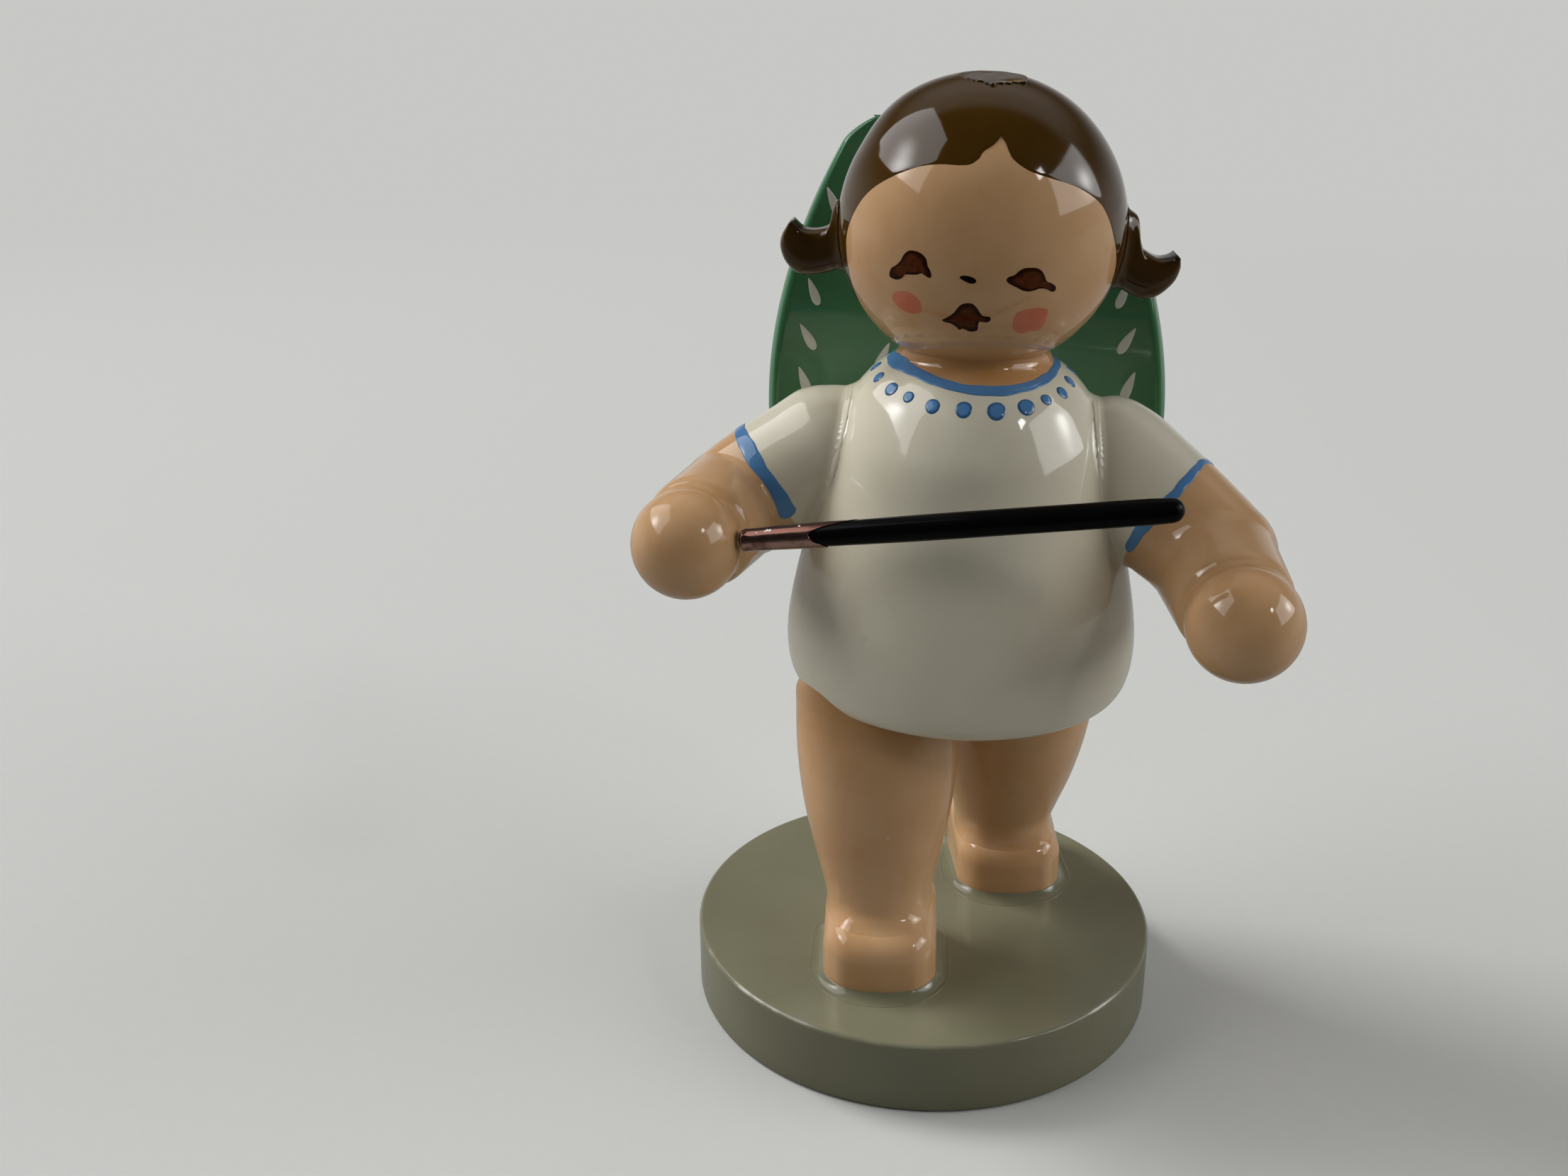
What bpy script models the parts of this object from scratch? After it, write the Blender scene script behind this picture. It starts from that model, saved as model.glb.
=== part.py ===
"""Painted wooden angel figurine on a round base, as turned and pegged pieces.

The figure strides towards -Y with its right leg in front, holds a small brush
across its chest in its right hand, and carries two wings on its back. Right and
left are the figure's own sides, so right is -X. The origin is the centre of the
base's underside. Run it with: blender --background --python part.py
"""

import math

import bmesh
import bpy
from mathutils import Matrix, Vector

MM = 0.001  # the dimensions below are in millimetres

# Fits
GAP = 0.2  # glue line between neighbours, and around every peg
SAW = 40.0  # side of the blocks that planes are cut with
PEG_RADIUS = 1.0
FINE_PEG_RADIUS = 0.6

# Base
BASE_RADIUS = 16.5
BASE_HEIGHT = 5.2
BASE_EDGE = 0.3  # rounding of its two rims

# Feet: a rounded block each, with a bowed toe
FOOT_WIDTH = 7.8
FOOT_LENGTH = 9.2
FOOT_HEIGHT = 4.0
FOOT_ROUNDING = 1.5
TOE_BOW = 1.1  # how far the middle of the toe stands in front of its corners
FOOT_TOES = {"right": (-2.75, -11.45), "left": (6.85, 1.9)}
FOOT_TURNS = {"right": 1.0, "left": 8.0}  # degrees, toe towards +X
FOOT_PEG_PLACE = 2.6  # behind the toe
FOOT_PEG_REACH = (3.2, 2.4)  # down into the base, up into the foot

# Legs: turned tapers from the foot up to the shirt, (radius, share of the length)
LEG_CURVE = ((5.75, 1.0), (5.7, 0.75), (4.25, 0.35), (3.65, 0.0))
LEG_RISE = 0.9  # how far the outer edge of the leg climbs round the hem
LEG_SPARE = 2.0  # turned on below the ankle, and sawn off
LEG_ANKLES = {"right": (-3.0, -5.9), "left": (5.9, 6.7)}
LEG_HIPS = {"right": (-3.45, -2.4), "left": (6.05, 4.6)}
ANKLE_PEG_REACH = (1.9, 4.0)  # down into the foot, up into the leg
HIP_PEG_REACH = 4.0  # each way

# Shirt, with the neck in one piece: (radius, height) down its outer side
BODY_AXIS = (2.0, 1.1)
BODY_LEAN = 1.0  # degrees, towards +X
NECK_TOP = 47.6
HEM_HEIGHT = 23.6
SHIRT_CURVE = (
    (4.95, NECK_TOP),
    (4.95, 46.7),
    (5.9, 45.8),
    (7.7, 44.3),
    (8.8, 41.2),
    (10.5, 35.4),
    (11.85, 29.6),
    (12.05, 26.4),
    (11.5, 24.3),
    (9.9, HEM_HEIGHT),
)
BACK_FLAT = 9.0  # from the shirt's axis to the seat of the wings
SEAT_DROP = 0.9  # how far the seat runs on below the wings

# Head: a turned ball, with the lathe's nub left on top
HEAD_RADIUS = 9.12
HEAD_HEIGHT = 55.08
NECK_PEG_REACH = 5.0  # each way
NUB_RADIUS = 1.6
NUB_STEP = 0.12

# Hair curls: slices of a turned ring, (outwards, up) from where they meet the head
CURL_OUTLINE = (
    (0.75, 2.2),
    (0.95, 0.6),
    (1.7, 0.0),
    (2.7, 0.15),
    (3.5, 0.8),
    (4.05, -0.1),
    (3.7, -1.2),
    (2.7, -2.05),
    (1.5, -2.1),
    (0.0, -1.6),
)
CURL_ROOT = 1.2  # how far the slice runs on towards the head before it is cut to it
CURL_DEPTH = 3.2
CURL_EDGE = 0.35
CURL_PLACES = {"right": (8.75, -1.1), "left": (8.85, -1.65)}  # from the head's middle
CURL_DROOPS = {"right": 0.0, "left": 13.0}  # degrees

# Arms: upper arm with the sleeve, forearm and ball hand
SHOULDERS = {"right": (-6.4, 1.4, 40.6), "left": (10.6, 1.4, 40.4)}
ELBOWS = {"right": (-13.5, 0.2, 36.4), "left": (18.2, -3.8, 34.9)}
HANDS = {"right": (-15.45, -8.5, 36.45), "left": (18.65, -12.5, 33.7)}
SLEEVE_CURVE = (  # (radius, share of the length) from the elbow's ball to the shoulder
    (3.9, 0.7),
    (4.2, 0.45),
    (4.25, 0.22),
    (3.85, 0.0),
    (3.0, -0.35),
)
ELBOW_RADIUS = 3.75
WRIST_RADIUS = 3.3
HAND_RADIUS = 3.52
SHOULDER_PEG_REACH = (3.2, 4.0)  # into the shirt, into the arm
FOREARM_PEG_REACH = (0.6, 0.8)  # from the elbow's middle, past the hand's middle

# Wings: hollowed leaves, (out from the spine, height)
WING_SPINE = 2.0
WING_GAP = 0.4  # from the spine to each wing
WING_SPAN = 13.4
WING_WIDEST = 40.5
WING_BOTTOM = 29.5
WING_TOP = 61.0
WING_TAPER = 0.01475  # the upper edge is a parabola: span lost per squared height
WING_PARTING = 45.0  # above this height the inner edges draw apart
WING_TIP_WIDTH = 1.3
WING_THICKNESS = 1.4
WING_HOLLOW = 0.028  # the front is a shallow trough: depth lost per squared offset
WING_DEEPEST = 5.5
WING_TILT = 0.05  # backwards, per unit of height
WING_PEGS = {"upper": 39.5, "lower": 33.5}
WING_PEG_OFFSET = 2.6
WING_PEG_REACH = (3.5, 1.0)  # into the shirt, into the wing
WING_GRID = (9, 14)

# Brush
BRUSH_END = (14.33, -14.0, 41.27)
FERRULE_RADIUS = 0.69
FERRULE_BORE = 0.52
FERRULE_LENGTH = 4.6
FERRULE_TAPER = 0.05
HANDLE_RADIUS = 0.7
HANDLE_TAIL = 0.63  # radius of its rounded end
HANDLE_SHOULDER = 1.5  # length that narrows to the ferrule
SPIGOT_RADIUS = 0.34
SPIGOT_LENGTH = 1.8
PIN_REACH = 2.0  # into the hand and into the ferrule

# Facets
ROUND_STEPS = 40
LIMB_STEPS = 22
PEG_SIDES = 10
CURVE_STEPS = 2
BALL_STEPS = 12

SIDES = ("right", "left")
FINISHES = {  # colour, roughness, metallic
    "base_lacquer": ((0.19, 0.19, 0.13), 0.25, 0.0),
    "skin_lacquer": ((0.55, 0.32, 0.18), 0.2, 0.0),
    "shirt_lacquer": ((0.66, 0.62, 0.5), 0.2, 0.0),
    "hair_lacquer": ((0.09, 0.05, 0.02), 0.2, 0.0),
    "wing_lacquer": ((0.04, 0.18, 0.07), 0.25, 0.0),
    "handle_lacquer": ((0.01, 0.01, 0.01), 0.2, 0.0),
    "ferrule_metal": ((0.75, 0.42, 0.32), 0.25, 1.0),
    "bare_wood": ((0.6, 0.42, 0.24), 0.7, 0.0),
}


def clear_scene():
    for obj in list(bpy.data.objects):
        bpy.data.objects.remove(obj, do_unlink=True)


def new_collection(name):
    collection = bpy.data.collections.new(name)
    bpy.context.scene.collection.children.link(collection)
    return collection


def finish_material(name):
    """One Principled material for each finish, made the first time it is asked for."""
    material = bpy.data.materials.get(name)
    if material is None:
        colour, roughness, metallic = FINISHES[name]
        material = bpy.data.materials.new(name)
        material.use_nodes = True
        shader = material.node_tree.nodes["Principled BSDF"]
        shader.inputs["Base Color"].default_value = (*colour, 1.0)
        shader.inputs["Roughness"].default_value = roughness
        shader.inputs["Metallic"].default_value = metallic
        material.diffuse_color = (*colour, 1.0)
    return material


def add_part(obj, finish):
    """Files an object as a piece of the figurine."""
    PARTS.objects.link(obj)
    obj.data.materials.append(finish_material(finish))
    return obj


def add_cutter(obj):
    CUTTERS.objects.link(obj)
    obj.hide_render = True
    obj.display_type = "WIRE"
    return obj


def mesh_object(name, bm, place):
    """An object from a bmesh in millimetres, set where the matrix puts it."""
    bmesh.ops.scale(bm, vec=(MM, MM, MM), verts=bm.verts)
    mesh = bpy.data.meshes.new(name)
    bm.to_mesh(mesh)
    bm.free()
    mesh.shade_smooth()
    mesh.set_sharp_from_angle(angle=math.radians(40))
    obj = bpy.data.objects.new(name, mesh)
    obj.matrix_world = in_metres(place)
    return obj


def in_metres(place):
    scaled = place.copy()
    scaled.translation = place.translation * MM
    return scaled


def along(start, end):
    """A frame at start whose Z axis points to end."""
    start, end = Vector(start), Vector(end)
    turn = (end - start).to_track_quat("Z", "Y").to_matrix().to_4x4()
    return Matrix.Translation(start) @ turn


def leaning_body():
    """The frame of the shirt and head: heights from the floor, leaning about the hem."""
    lift = Matrix.Translation((*BODY_AXIS, HEM_HEIGHT))
    lean = Matrix.Rotation(math.radians(BODY_LEAN), 4, "Y")
    return lift @ lean @ Matrix.Translation((0, 0, -HEM_HEIGHT))


def smooth_through(points, steps=CURVE_STEPS):
    """A Catmull-Rom curve through 2D points, with this many steps from each to the next."""
    spaced = [Vector(p) for p in points]
    padded = [2 * spaced[0] - spaced[1], *spaced, 2 * spaced[-1] - spaced[-2]]
    curve = []
    for a, b, c, d in zip(padded, padded[1:], padded[2:], padded[3:]):
        for i in range(steps):
            t = i / steps
            curve.append(
                0.5
                * (
                    2 * b
                    + (c - a) * t
                    + (2 * a - 5 * b + 4 * c - d) * t**2
                    + (3 * b - a - 3 * c + d) * t**3
                )
            )
    return [tuple(p) for p in curve] + [tuple(points[-1])]


def arc(centre, radius, first, last, steps):
    """Points (radius, height) on an arc about a centre, angles in degrees from the axis up."""
    angles = [math.radians(first + (last - first) * i / steps) for i in range(steps + 1)]
    return [
        (centre[0] + radius * math.sin(a), centre[1] + radius * math.cos(a)) for a in angles
    ]


def grown(profile, margin):
    """A turned profile moved out along its own normals, for the cutter of a neighbour."""
    points = [Vector(p) for p in profile]
    moved = []
    for i, point in enumerate(points):
        before = points[max(i - 1, 0)]
        after = points[min(i + 1, len(points) - 1)]
        down = (after - before).normalized()
        moved.append(tuple(point + margin * Vector((-down.y, down.x))))
    return moved


def turned(name, profile, place, steps):
    """A closed turned solid from (radius, height) points that run down its outer side."""
    points = [(0.0, profile[0][1]), *profile, (0.0, profile[-1][1])]
    kept = [points[0]]
    for point in points[1:]:
        if math.dist(point, kept[-1]) > 1e-6:
            kept.append(point)
    bm = bmesh.new()
    verts = [bm.verts.new((r, 0, z)) for r, z in kept]
    for upper, lower in zip(verts, verts[1:]):
        bm.edges.new((upper, lower))
    obj = mesh_object(name, bm, place)
    screw = obj.modifiers.new("turning", "SCREW")
    screw.axis = "Z"
    screw.steps = screw.render_steps = steps
    screw.use_merge_vertices = True
    screw.merge_threshold = 1e-6
    screw.use_smooth_shade = True
    return obj


def cut(piece, cutter):
    """Takes a cutter's shape out of a piece."""
    boolean = piece.modifiers.new("cut_by_" + cutter.name, "BOOLEAN")
    boolean.operation = "DIFFERENCE"
    boolean.solver = "EXACT"
    boolean.object = cutter


def box(name, size, place):
    bm = bmesh.new()
    bmesh.ops.create_cube(bm, size=1.0)
    bmesh.ops.scale(bm, vec=size, verts=bm.verts)
    return mesh_object(name, bm, place)


def rod(name, start, end, radius, sides=PEG_SIDES):
    """A plain round rod from one point to another."""
    length = (Vector(end) - Vector(start)).length
    bm = bmesh.new()
    bmesh.ops.create_cone(
        bm,
        cap_ends=True,
        segments=sides,
        radius1=radius,
        radius2=radius,
        depth=length,
        matrix=Matrix.Translation((0, 0, length / 2)),
    )
    return mesh_object(name, bm, along(start, end))


def peg(name, start, end, pieces, radius=PEG_RADIUS):
    """A glued peg, and the holes that it stands in."""
    add_part(rod(name, start, end, radius), "bare_wood")
    way = (Vector(end) - Vector(start)).normalized() * GAP
    drill = rod(name + "_drill", Vector(start) - way, Vector(end) + way, radius + GAP)
    add_cutter(drill)
    for piece in pieces:
        cut(piece, drill)


def make_base():
    edge = BASE_EDGE
    rim = BASE_RADIUS - edge
    profile = arc((rim, BASE_HEIGHT - edge), edge, 0, 90, 2)
    profile += arc((rim, edge), edge, 90, 180, 2)
    return add_part(turned("base_disc", profile, Matrix(), ROUND_STEPS), "base_lacquer")


def make_foot(side, base):
    """A rounded block whose toe is bowed, standing on the base with its toe at -Y."""
    bm = bmesh.new()
    bmesh.ops.create_cube(bm, size=1.0)
    bmesh.ops.scale(bm, vec=(FOOT_WIDTH, FOOT_LENGTH, FOOT_HEIGHT), verts=bm.verts)
    cross = [e for e in bm.edges if abs(e.verts[0].co.x - e.verts[1].co.x) > FOOT_WIDTH / 2]
    bmesh.ops.subdivide_edges(bm, edges=cross, cuts=5)
    rounded = [
        e
        for e in bm.edges
        if len(e.link_faces) == 2
        and e.calc_face_angle() > 1.0
        and max(v.co.z for v in e.verts) > 0
    ]
    bmesh.ops.bevel(
        bm, geom=rounded, offset=FOOT_ROUNDING, segments=3, profile=0.5, affect="EDGES"
    )
    half_width, half_length = FOOT_WIDTH / 2, FOOT_LENGTH / 2
    for vert in bm.verts:
        towards_toe = (half_length - vert.co.y) / FOOT_LENGTH
        vert.co.y += TOE_BOW * towards_toe * (vert.co.x / half_width) ** 2
    bmesh.ops.recalc_face_normals(bm, faces=bm.faces)
    toe = Matrix.Translation((*FOOT_TOES[side], BASE_HEIGHT + GAP))
    toe @= Matrix.Rotation(math.radians(FOOT_TURNS[side]), 4, "Z")
    place = toe @ Matrix.Translation((0, half_length, FOOT_HEIGHT / 2))
    foot = add_part(mesh_object(side + "_foot", bm, place), "skin_lacquer")
    down, up = FOOT_PEG_REACH
    ends = (toe @ Vector((0, FOOT_PEG_PLACE, -down)), toe @ Vector((0, FOOT_PEG_PLACE, up)))
    peg(side + "_foot_peg", *ends, (base, foot))
    return foot


def leg_line(side):
    """The middle of the leg's lower and upper ends."""
    ankle = Vector((*LEG_ANKLES[side], BASE_HEIGHT + FOOT_HEIGHT + 2 * GAP))
    hip = Vector((*LEG_HIPS[side], HEM_HEIGHT - GAP))
    return ankle, hip


def make_leg(side, foot, body):
    """A turned taper, cut off level above the foot and coped to the shirt's hem."""
    ankle, hip = leg_line(side)
    way = (hip - ankle).normalized()
    low, high = ankle - LEG_SPARE * way, hip + LEG_RISE * way
    length = (high - low).length
    profile = smooth_through([(radius, share * length) for radius, share in LEG_CURVE])
    leg = add_part(turned(side + "_leg", profile, along(low, high), LIMB_STEPS), "skin_lacquer")
    below = Matrix.Translation((ankle.x, ankle.y, ankle.z - SAW / 2))
    cut(leg, add_cutter(box(side + "_leg_foot_saw", (SAW, SAW, SAW), below)))
    cut(leg, add_cutter(shirt_coat(side + "_leg_shirt")))
    down, up = ANKLE_PEG_REACH
    peg(side + "_ankle_peg", ankle - down * way, ankle + up * way, (foot, leg))
    reach = HIP_PEG_REACH * way
    peg(side + "_hip_peg", hip - reach, hip + reach, (leg, body))


def make_body():
    """The bell-shaped shirt and neck, with a flat planed on its back for the wings."""
    place = leaning_body()
    body = add_part(
        turned("shirt_body", smooth_through(SHIRT_CURVE), place, ROUND_STEPS), "shirt_lacquer"
    )
    seat = Matrix.Translation((0, BACK_FLAT + SAW / 2, WING_BOTTOM - SEAT_DROP + SAW / 2))
    cut(body, add_cutter(box("wing_seat_plane", (SAW, SAW, SAW), place @ seat)))
    return body


def shirt_coat(name):
    """The shirt's shape a glue line larger, for cutting what is fitted to it."""
    profile = grown(smooth_through(SHIRT_CURVE), GAP)
    return turned(name, profile, leaning_body(), ROUND_STEPS)


def make_head(body):
    """A ball flattened where it sits on the neck, with a low nub on its crown."""
    place = leaning_body()
    seat = NECK_TOP + GAP
    last = math.degrees(math.acos((seat - HEAD_HEIGHT) / HEAD_RADIUS))
    first = math.degrees(math.asin(NUB_RADIUS / HEAD_RADIUS))
    profile = arc((0, HEAD_HEIGHT), HEAD_RADIUS, first, last, BALL_STEPS)
    nub_top = profile[0][1] + NUB_STEP
    profile.insert(0, (NUB_RADIUS - NUB_STEP, nub_top))
    head = add_part(turned("head", profile, place, ROUND_STEPS), "hair_lacquer")
    low = place @ Vector((0, 0, NECK_TOP - NECK_PEG_REACH))
    high = place @ Vector((0, 0, NECK_TOP + NECK_PEG_REACH))
    peg("neck_peg", low, high, (body, head))


def make_curl(side):
    """A hooked slice, rounded at its edges and cut to the ball of the head."""
    out, up = CURL_PLACES[side]
    mirror = -1 if side == "right" else 1
    droop = Matrix.Rotation(math.radians(-CURL_DROOPS[side]), 2)
    hook = smooth_through(CURL_OUTLINE, 3)
    root = [(-CURL_ROOT, CURL_OUTLINE[-1][1]), (-CURL_ROOT, CURL_OUTLINE[0][1])]
    points = [droop @ Vector(p) + Vector((out, up)) for p in hook + root]
    bm = bmesh.new()
    verts = [bm.verts.new((mirror * p.x, -CURL_DEPTH / 2, p.y)) for p in points]
    face = bm.faces.new(verts)
    pushed = bmesh.ops.extrude_face_region(bm, geom=[face])["geom"]
    moved = [v for v in pushed if isinstance(v, bmesh.types.BMVert)]
    bmesh.ops.translate(bm, vec=(0, CURL_DEPTH, 0), verts=moved)
    bmesh.ops.recalc_face_normals(bm, faces=bm.faces)
    middle = leaning_body() @ Matrix.Translation((0, 0, HEAD_HEIGHT))
    curl = add_part(mesh_object(side + "_hair_curl", bm, middle), "hair_lacquer")
    bevel = curl.modifiers.new("rounded_edges", "BEVEL")
    bevel.width = CURL_EDGE * MM
    bevel.segments = 2
    bevel.limit_method = "ANGLE"
    bevel.angle_limit = math.radians(60)
    ball = turned(
        side + "_curl_ball",
        arc((0, 0), HEAD_RADIUS + GAP, 0, 180, 2 * BALL_STEPS),
        middle,
        ROUND_STEPS,
    )
    cut(curl, add_cutter(ball))


def upper_arm_profile(length, margin=0.0):
    """A sleeve that draws in to the shoulder, with a half ball for the elbow on top."""
    elbow = arc((0, length), ELBOW_RADIUS + margin, 0, 90, BALL_STEPS // 2)
    return elbow + [(radius + margin, share * length) for radius, share in SLEEVE_CURVE]


def make_arm(side, body):
    """Upper arm let against the shirt, forearm coped to its elbow, and a ball hand."""
    shoulder, elbow, hand = (Vector(p[side]) for p in (SHOULDERS, ELBOWS, HANDS))
    length = (elbow - shoulder).length
    upper_frame = along(shoulder, elbow)
    upper = add_part(
        turned(side + "_upper_arm", upper_arm_profile(length), upper_frame, LIMB_STEPS),
        "skin_lacquer",
    )
    cut(upper, add_cutter(shirt_coat(side + "_arm_shirt")))
    reach = (hand - elbow).length
    lower = [(WRIST_RADIUS, reach), (ELBOW_RADIUS, 0.0)]
    forearm = add_part(
        turned(side + "_forearm", lower, along(elbow, hand), LIMB_STEPS), "skin_lacquer"
    )
    elbow_ball = turned(
        side + "_elbow_cope", upper_arm_profile(length, GAP), upper_frame, LIMB_STEPS
    )
    cut(forearm, add_cutter(elbow_ball))
    hand_frame = along(hand, hand + (hand - elbow))
    hollow = arc((0, 0), HAND_RADIUS + GAP, 0, 180, BALL_STEPS)
    cut(forearm, add_cutter(turned(side + "_hand_cope", hollow, hand_frame, LIMB_STEPS)))
    sphere = arc((0, 0), HAND_RADIUS, 0, 180, BALL_STEPS)
    ball = add_part(turned(side + "_hand", sphere, hand_frame, LIMB_STEPS), "skin_lacquer")
    way = (elbow - shoulder).normalized()
    inwards, outwards = SHOULDER_PEG_REACH
    ends = (shoulder - inwards * way, shoulder + outwards * way)
    peg(side + "_shoulder_peg", *ends, (body, upper))
    way = (hand - elbow).normalized()
    ends = (elbow + FOREARM_PEG_REACH[0] * way, hand + FOREARM_PEG_REACH[1] * way)
    peg(side + "_forearm_peg", *ends, (upper, forearm, ball))
    return ball


def wing_edges(height):
    """The inner and outer edge of a wing at a height, out from the spine."""
    if height > WING_WIDEST:
        outer = WING_SPAN - WING_TAPER * (height - WING_WIDEST) ** 2
    else:
        fall = (WING_WIDEST - height) / (WING_WIDEST - WING_BOTTOM)
        outer = WING_GAP + 1 + (WING_SPAN - WING_GAP - 1) * math.sqrt(max(1 - fall**2, 0))
    tip = WING_SPAN - WING_TAPER * (WING_TOP - WING_WIDEST) ** 2 - WING_TIP_WIDTH
    rise = max(height - WING_PARTING, 0) / (WING_TOP - WING_PARTING)
    return WING_GAP + (tip - WING_GAP) * rise**1.5, outer


def make_wing(side, body):
    """A leaf with a shallow trough along it, thickened backwards, and its two pegs."""
    columns, rows = WING_GRID
    mirror = -1 if side == "right" else 1
    back = BODY_AXIS[1] + BACK_FLAT + GAP
    deepest = back + WING_HOLLOW * WING_DEEPEST**2
    bm = bmesh.new()
    grid = []
    for j in range(rows + 1):
        fraction = 0.5 - 0.5 * math.cos(math.pi * j / rows)
        height = WING_BOTTOM + (WING_TOP - WING_BOTTOM) * fraction
        inner, outer = wing_edges(height)
        row = []
        for i in range(columns + 1):
            out = inner + (outer - inner) * i / columns
            depth = deepest - WING_HOLLOW * (out - WING_DEEPEST) ** 2
            depth += WING_TILT * max(height - WING_WIDEST, 0)
            row.append(bm.verts.new((WING_SPINE + mirror * out, depth, height)))
        grid.append(row)
    for lower, upper in zip(grid, grid[1:]):
        for i in range(columns):
            bm.faces.new((lower[i], lower[i + 1], upper[i + 1], upper[i]))
    if mirror > 0:
        bmesh.ops.reverse_faces(bm, faces=bm.faces)
    wing = add_part(mesh_object(side + "_wing", bm, Matrix()), "wing_lacquer")
    shell = wing.modifiers.new("thickness", "SOLIDIFY")
    shell.thickness = WING_THICKNESS * MM
    shell.offset = 1.0
    inwards, outwards = WING_PEG_REACH
    for place, height in WING_PEGS.items():
        x = WING_SPINE + mirror * WING_PEG_OFFSET
        start, end = Vector((x, back - inwards, height)), Vector((x, back + outwards, height))
        peg(f"{side}_wing_{place}_peg", start, end, (body, wing), FINE_PEG_RADIUS)


def make_brush(hand):
    """A ferrule set on the side of the right hand, and a lacquered handle in it."""
    end, middle = Vector(BRUSH_END), Vector(HANDS["right"])
    way = (end - middle).normalized()
    near = middle + way * (HAND_RADIUS + GAP)
    length = (end - near).length
    frame = along(near, end)
    tube = [(FERRULE_RADIUS - FERRULE_TAPER, FERRULE_LENGTH), (FERRULE_RADIUS, 0.0)]
    ferrule = add_part(turned("brush_ferrule", tube, frame, LIMB_STEPS), "ferrule_metal")
    bore = rod("ferrule_bore", near - way, near + way * (FERRULE_LENGTH + 1), FERRULE_BORE)
    cut(ferrule, add_cutter(bore))
    shoulder = FERRULE_LENGTH + GAP
    outline = arc((0, length - HANDLE_TAIL), HANDLE_TAIL, 0, 90, BALL_STEPS // 3)
    outline += [
        (HANDLE_RADIUS, 0.5 * length),
        (HANDLE_RADIUS, shoulder + HANDLE_SHOULDER),
        (FERRULE_RADIUS - FERRULE_TAPER, shoulder),
        (SPIGOT_RADIUS, shoulder),
        (SPIGOT_RADIUS, shoulder - SPIGOT_LENGTH),
    ]
    add_part(turned("brush_handle", outline, frame, LIMB_STEPS), "handle_lacquer")
    reach = PIN_REACH * way
    peg("brush_pin", near - reach, near + reach, (hand,), FERRULE_BORE - GAP)


clear_scene()
PARTS = new_collection("wooden_angel_figurine")
CUTTERS = new_collection("cutters")

base_disc = make_base()
shirt_body = make_body()
make_head(shirt_body)
hands = {}
for side_name in SIDES:
    make_leg(side_name, make_foot(side_name, base_disc), shirt_body)
    make_curl(side_name)
    hands[side_name] = make_arm(side_name, shirt_body)
    make_wing(side_name, shirt_body)
make_brush(hands["right"])
bpy.context.view_layer.update()
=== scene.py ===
"""Dressed model of a painted wooden angel figurine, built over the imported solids.

Sizes are millimetres in the part's frame: the origin is the centre of the base's underside,
Z is up and the figure faces -Y. Right and left are the figure's own sides, so right is -X.
Every new surface is a grid of points: rows run along a form and columns run round it.
"""

from __future__ import annotations

import logging
import math
from dataclasses import dataclass, field, replace
from enum import Enum
from typing import Any, Callable, Optional, Sequence, Union

import bpy
import numpy as np
from mathutils import Matrix, Vector

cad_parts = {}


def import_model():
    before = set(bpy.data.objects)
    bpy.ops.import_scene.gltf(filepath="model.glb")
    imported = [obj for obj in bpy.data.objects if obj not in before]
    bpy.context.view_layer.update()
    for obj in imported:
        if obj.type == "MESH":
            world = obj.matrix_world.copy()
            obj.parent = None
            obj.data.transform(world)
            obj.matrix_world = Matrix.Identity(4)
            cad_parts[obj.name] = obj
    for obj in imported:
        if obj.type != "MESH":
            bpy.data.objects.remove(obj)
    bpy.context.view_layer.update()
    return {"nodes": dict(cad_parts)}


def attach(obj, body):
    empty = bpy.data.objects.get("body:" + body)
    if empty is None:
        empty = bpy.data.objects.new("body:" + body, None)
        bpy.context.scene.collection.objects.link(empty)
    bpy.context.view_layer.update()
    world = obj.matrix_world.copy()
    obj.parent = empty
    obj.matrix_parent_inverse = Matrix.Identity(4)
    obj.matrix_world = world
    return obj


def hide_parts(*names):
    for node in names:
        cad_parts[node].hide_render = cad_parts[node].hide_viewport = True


Array = np.ndarray
Pair = tuple[float, float]
Triple = tuple[float, float, float]
Colour = Triple
Node = bpy.types.Node
Socket = bpy.types.NodeSocket
Tree = bpy.types.NodeTree
Material = bpy.types.Material

MM = 0.001
LOG = logging.getLogger("angel")

FILLET_HALVINGS = 14
FILLET_PROBE = 0.02
FAR_AWAY = 9.0
SMALL_DAB_RINGS = 8
DAB_EDGE = 0.004
DAB_UNDERSIDE = 0.06
DUST_TONE = (0.55, 0.53, 0.48)
DUST_CELLS = 420.0
DUST_COVER = 0.35
SMUDGE_SCALE = 190.0
BREAK_UP_SCALE = 380.0
RAGGED_SCALE = 2600.0


class Side(Enum):
    """The figure's own sides."""

    RIGHT = "right"
    LEFT = "left"

    @property
    def outward(self) -> float:
        """The sign of X on this side."""
        return -1.0 if self is Side.RIGHT else 1.0


class Ray(Enum):
    """What a lamp does: lights the figure, shows in its gloss, or both."""

    DIFFUSE = "diffuse"
    GLOSSY = "glossy"
    BOTH = "both"


def unit(vectors: Array) -> Array:
    """Vectors scaled to length one."""
    return vectors / np.maximum(np.linalg.norm(vectors, axis=-1, keepdims=True), 1e-12)


def joined(*parts: Any) -> Array:
    """Points from their coordinates, each a number or an array."""
    return np.stack(np.broadcast_arrays(*parts), axis=-1)


def circle(count: int) -> Array:
    """Even angles once round, in radians."""
    return np.linspace(0.0, 2 * np.pi, count, endpoint=False)


def bell(values: Array, middle: float, width: float) -> Array:
    """A bell curve: exp(-((value - middle) / width)^2)."""
    return np.exp(-(((values - middle) / width) ** 2))


def eased(values: Array, low: float, high: float) -> Array:
    """A smooth step from 0 at low to 1 at high."""
    t = np.clip((values - low) / (high - low), 0.0, 1.0)
    return t * t * (3.0 - 2.0 * t)


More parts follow.
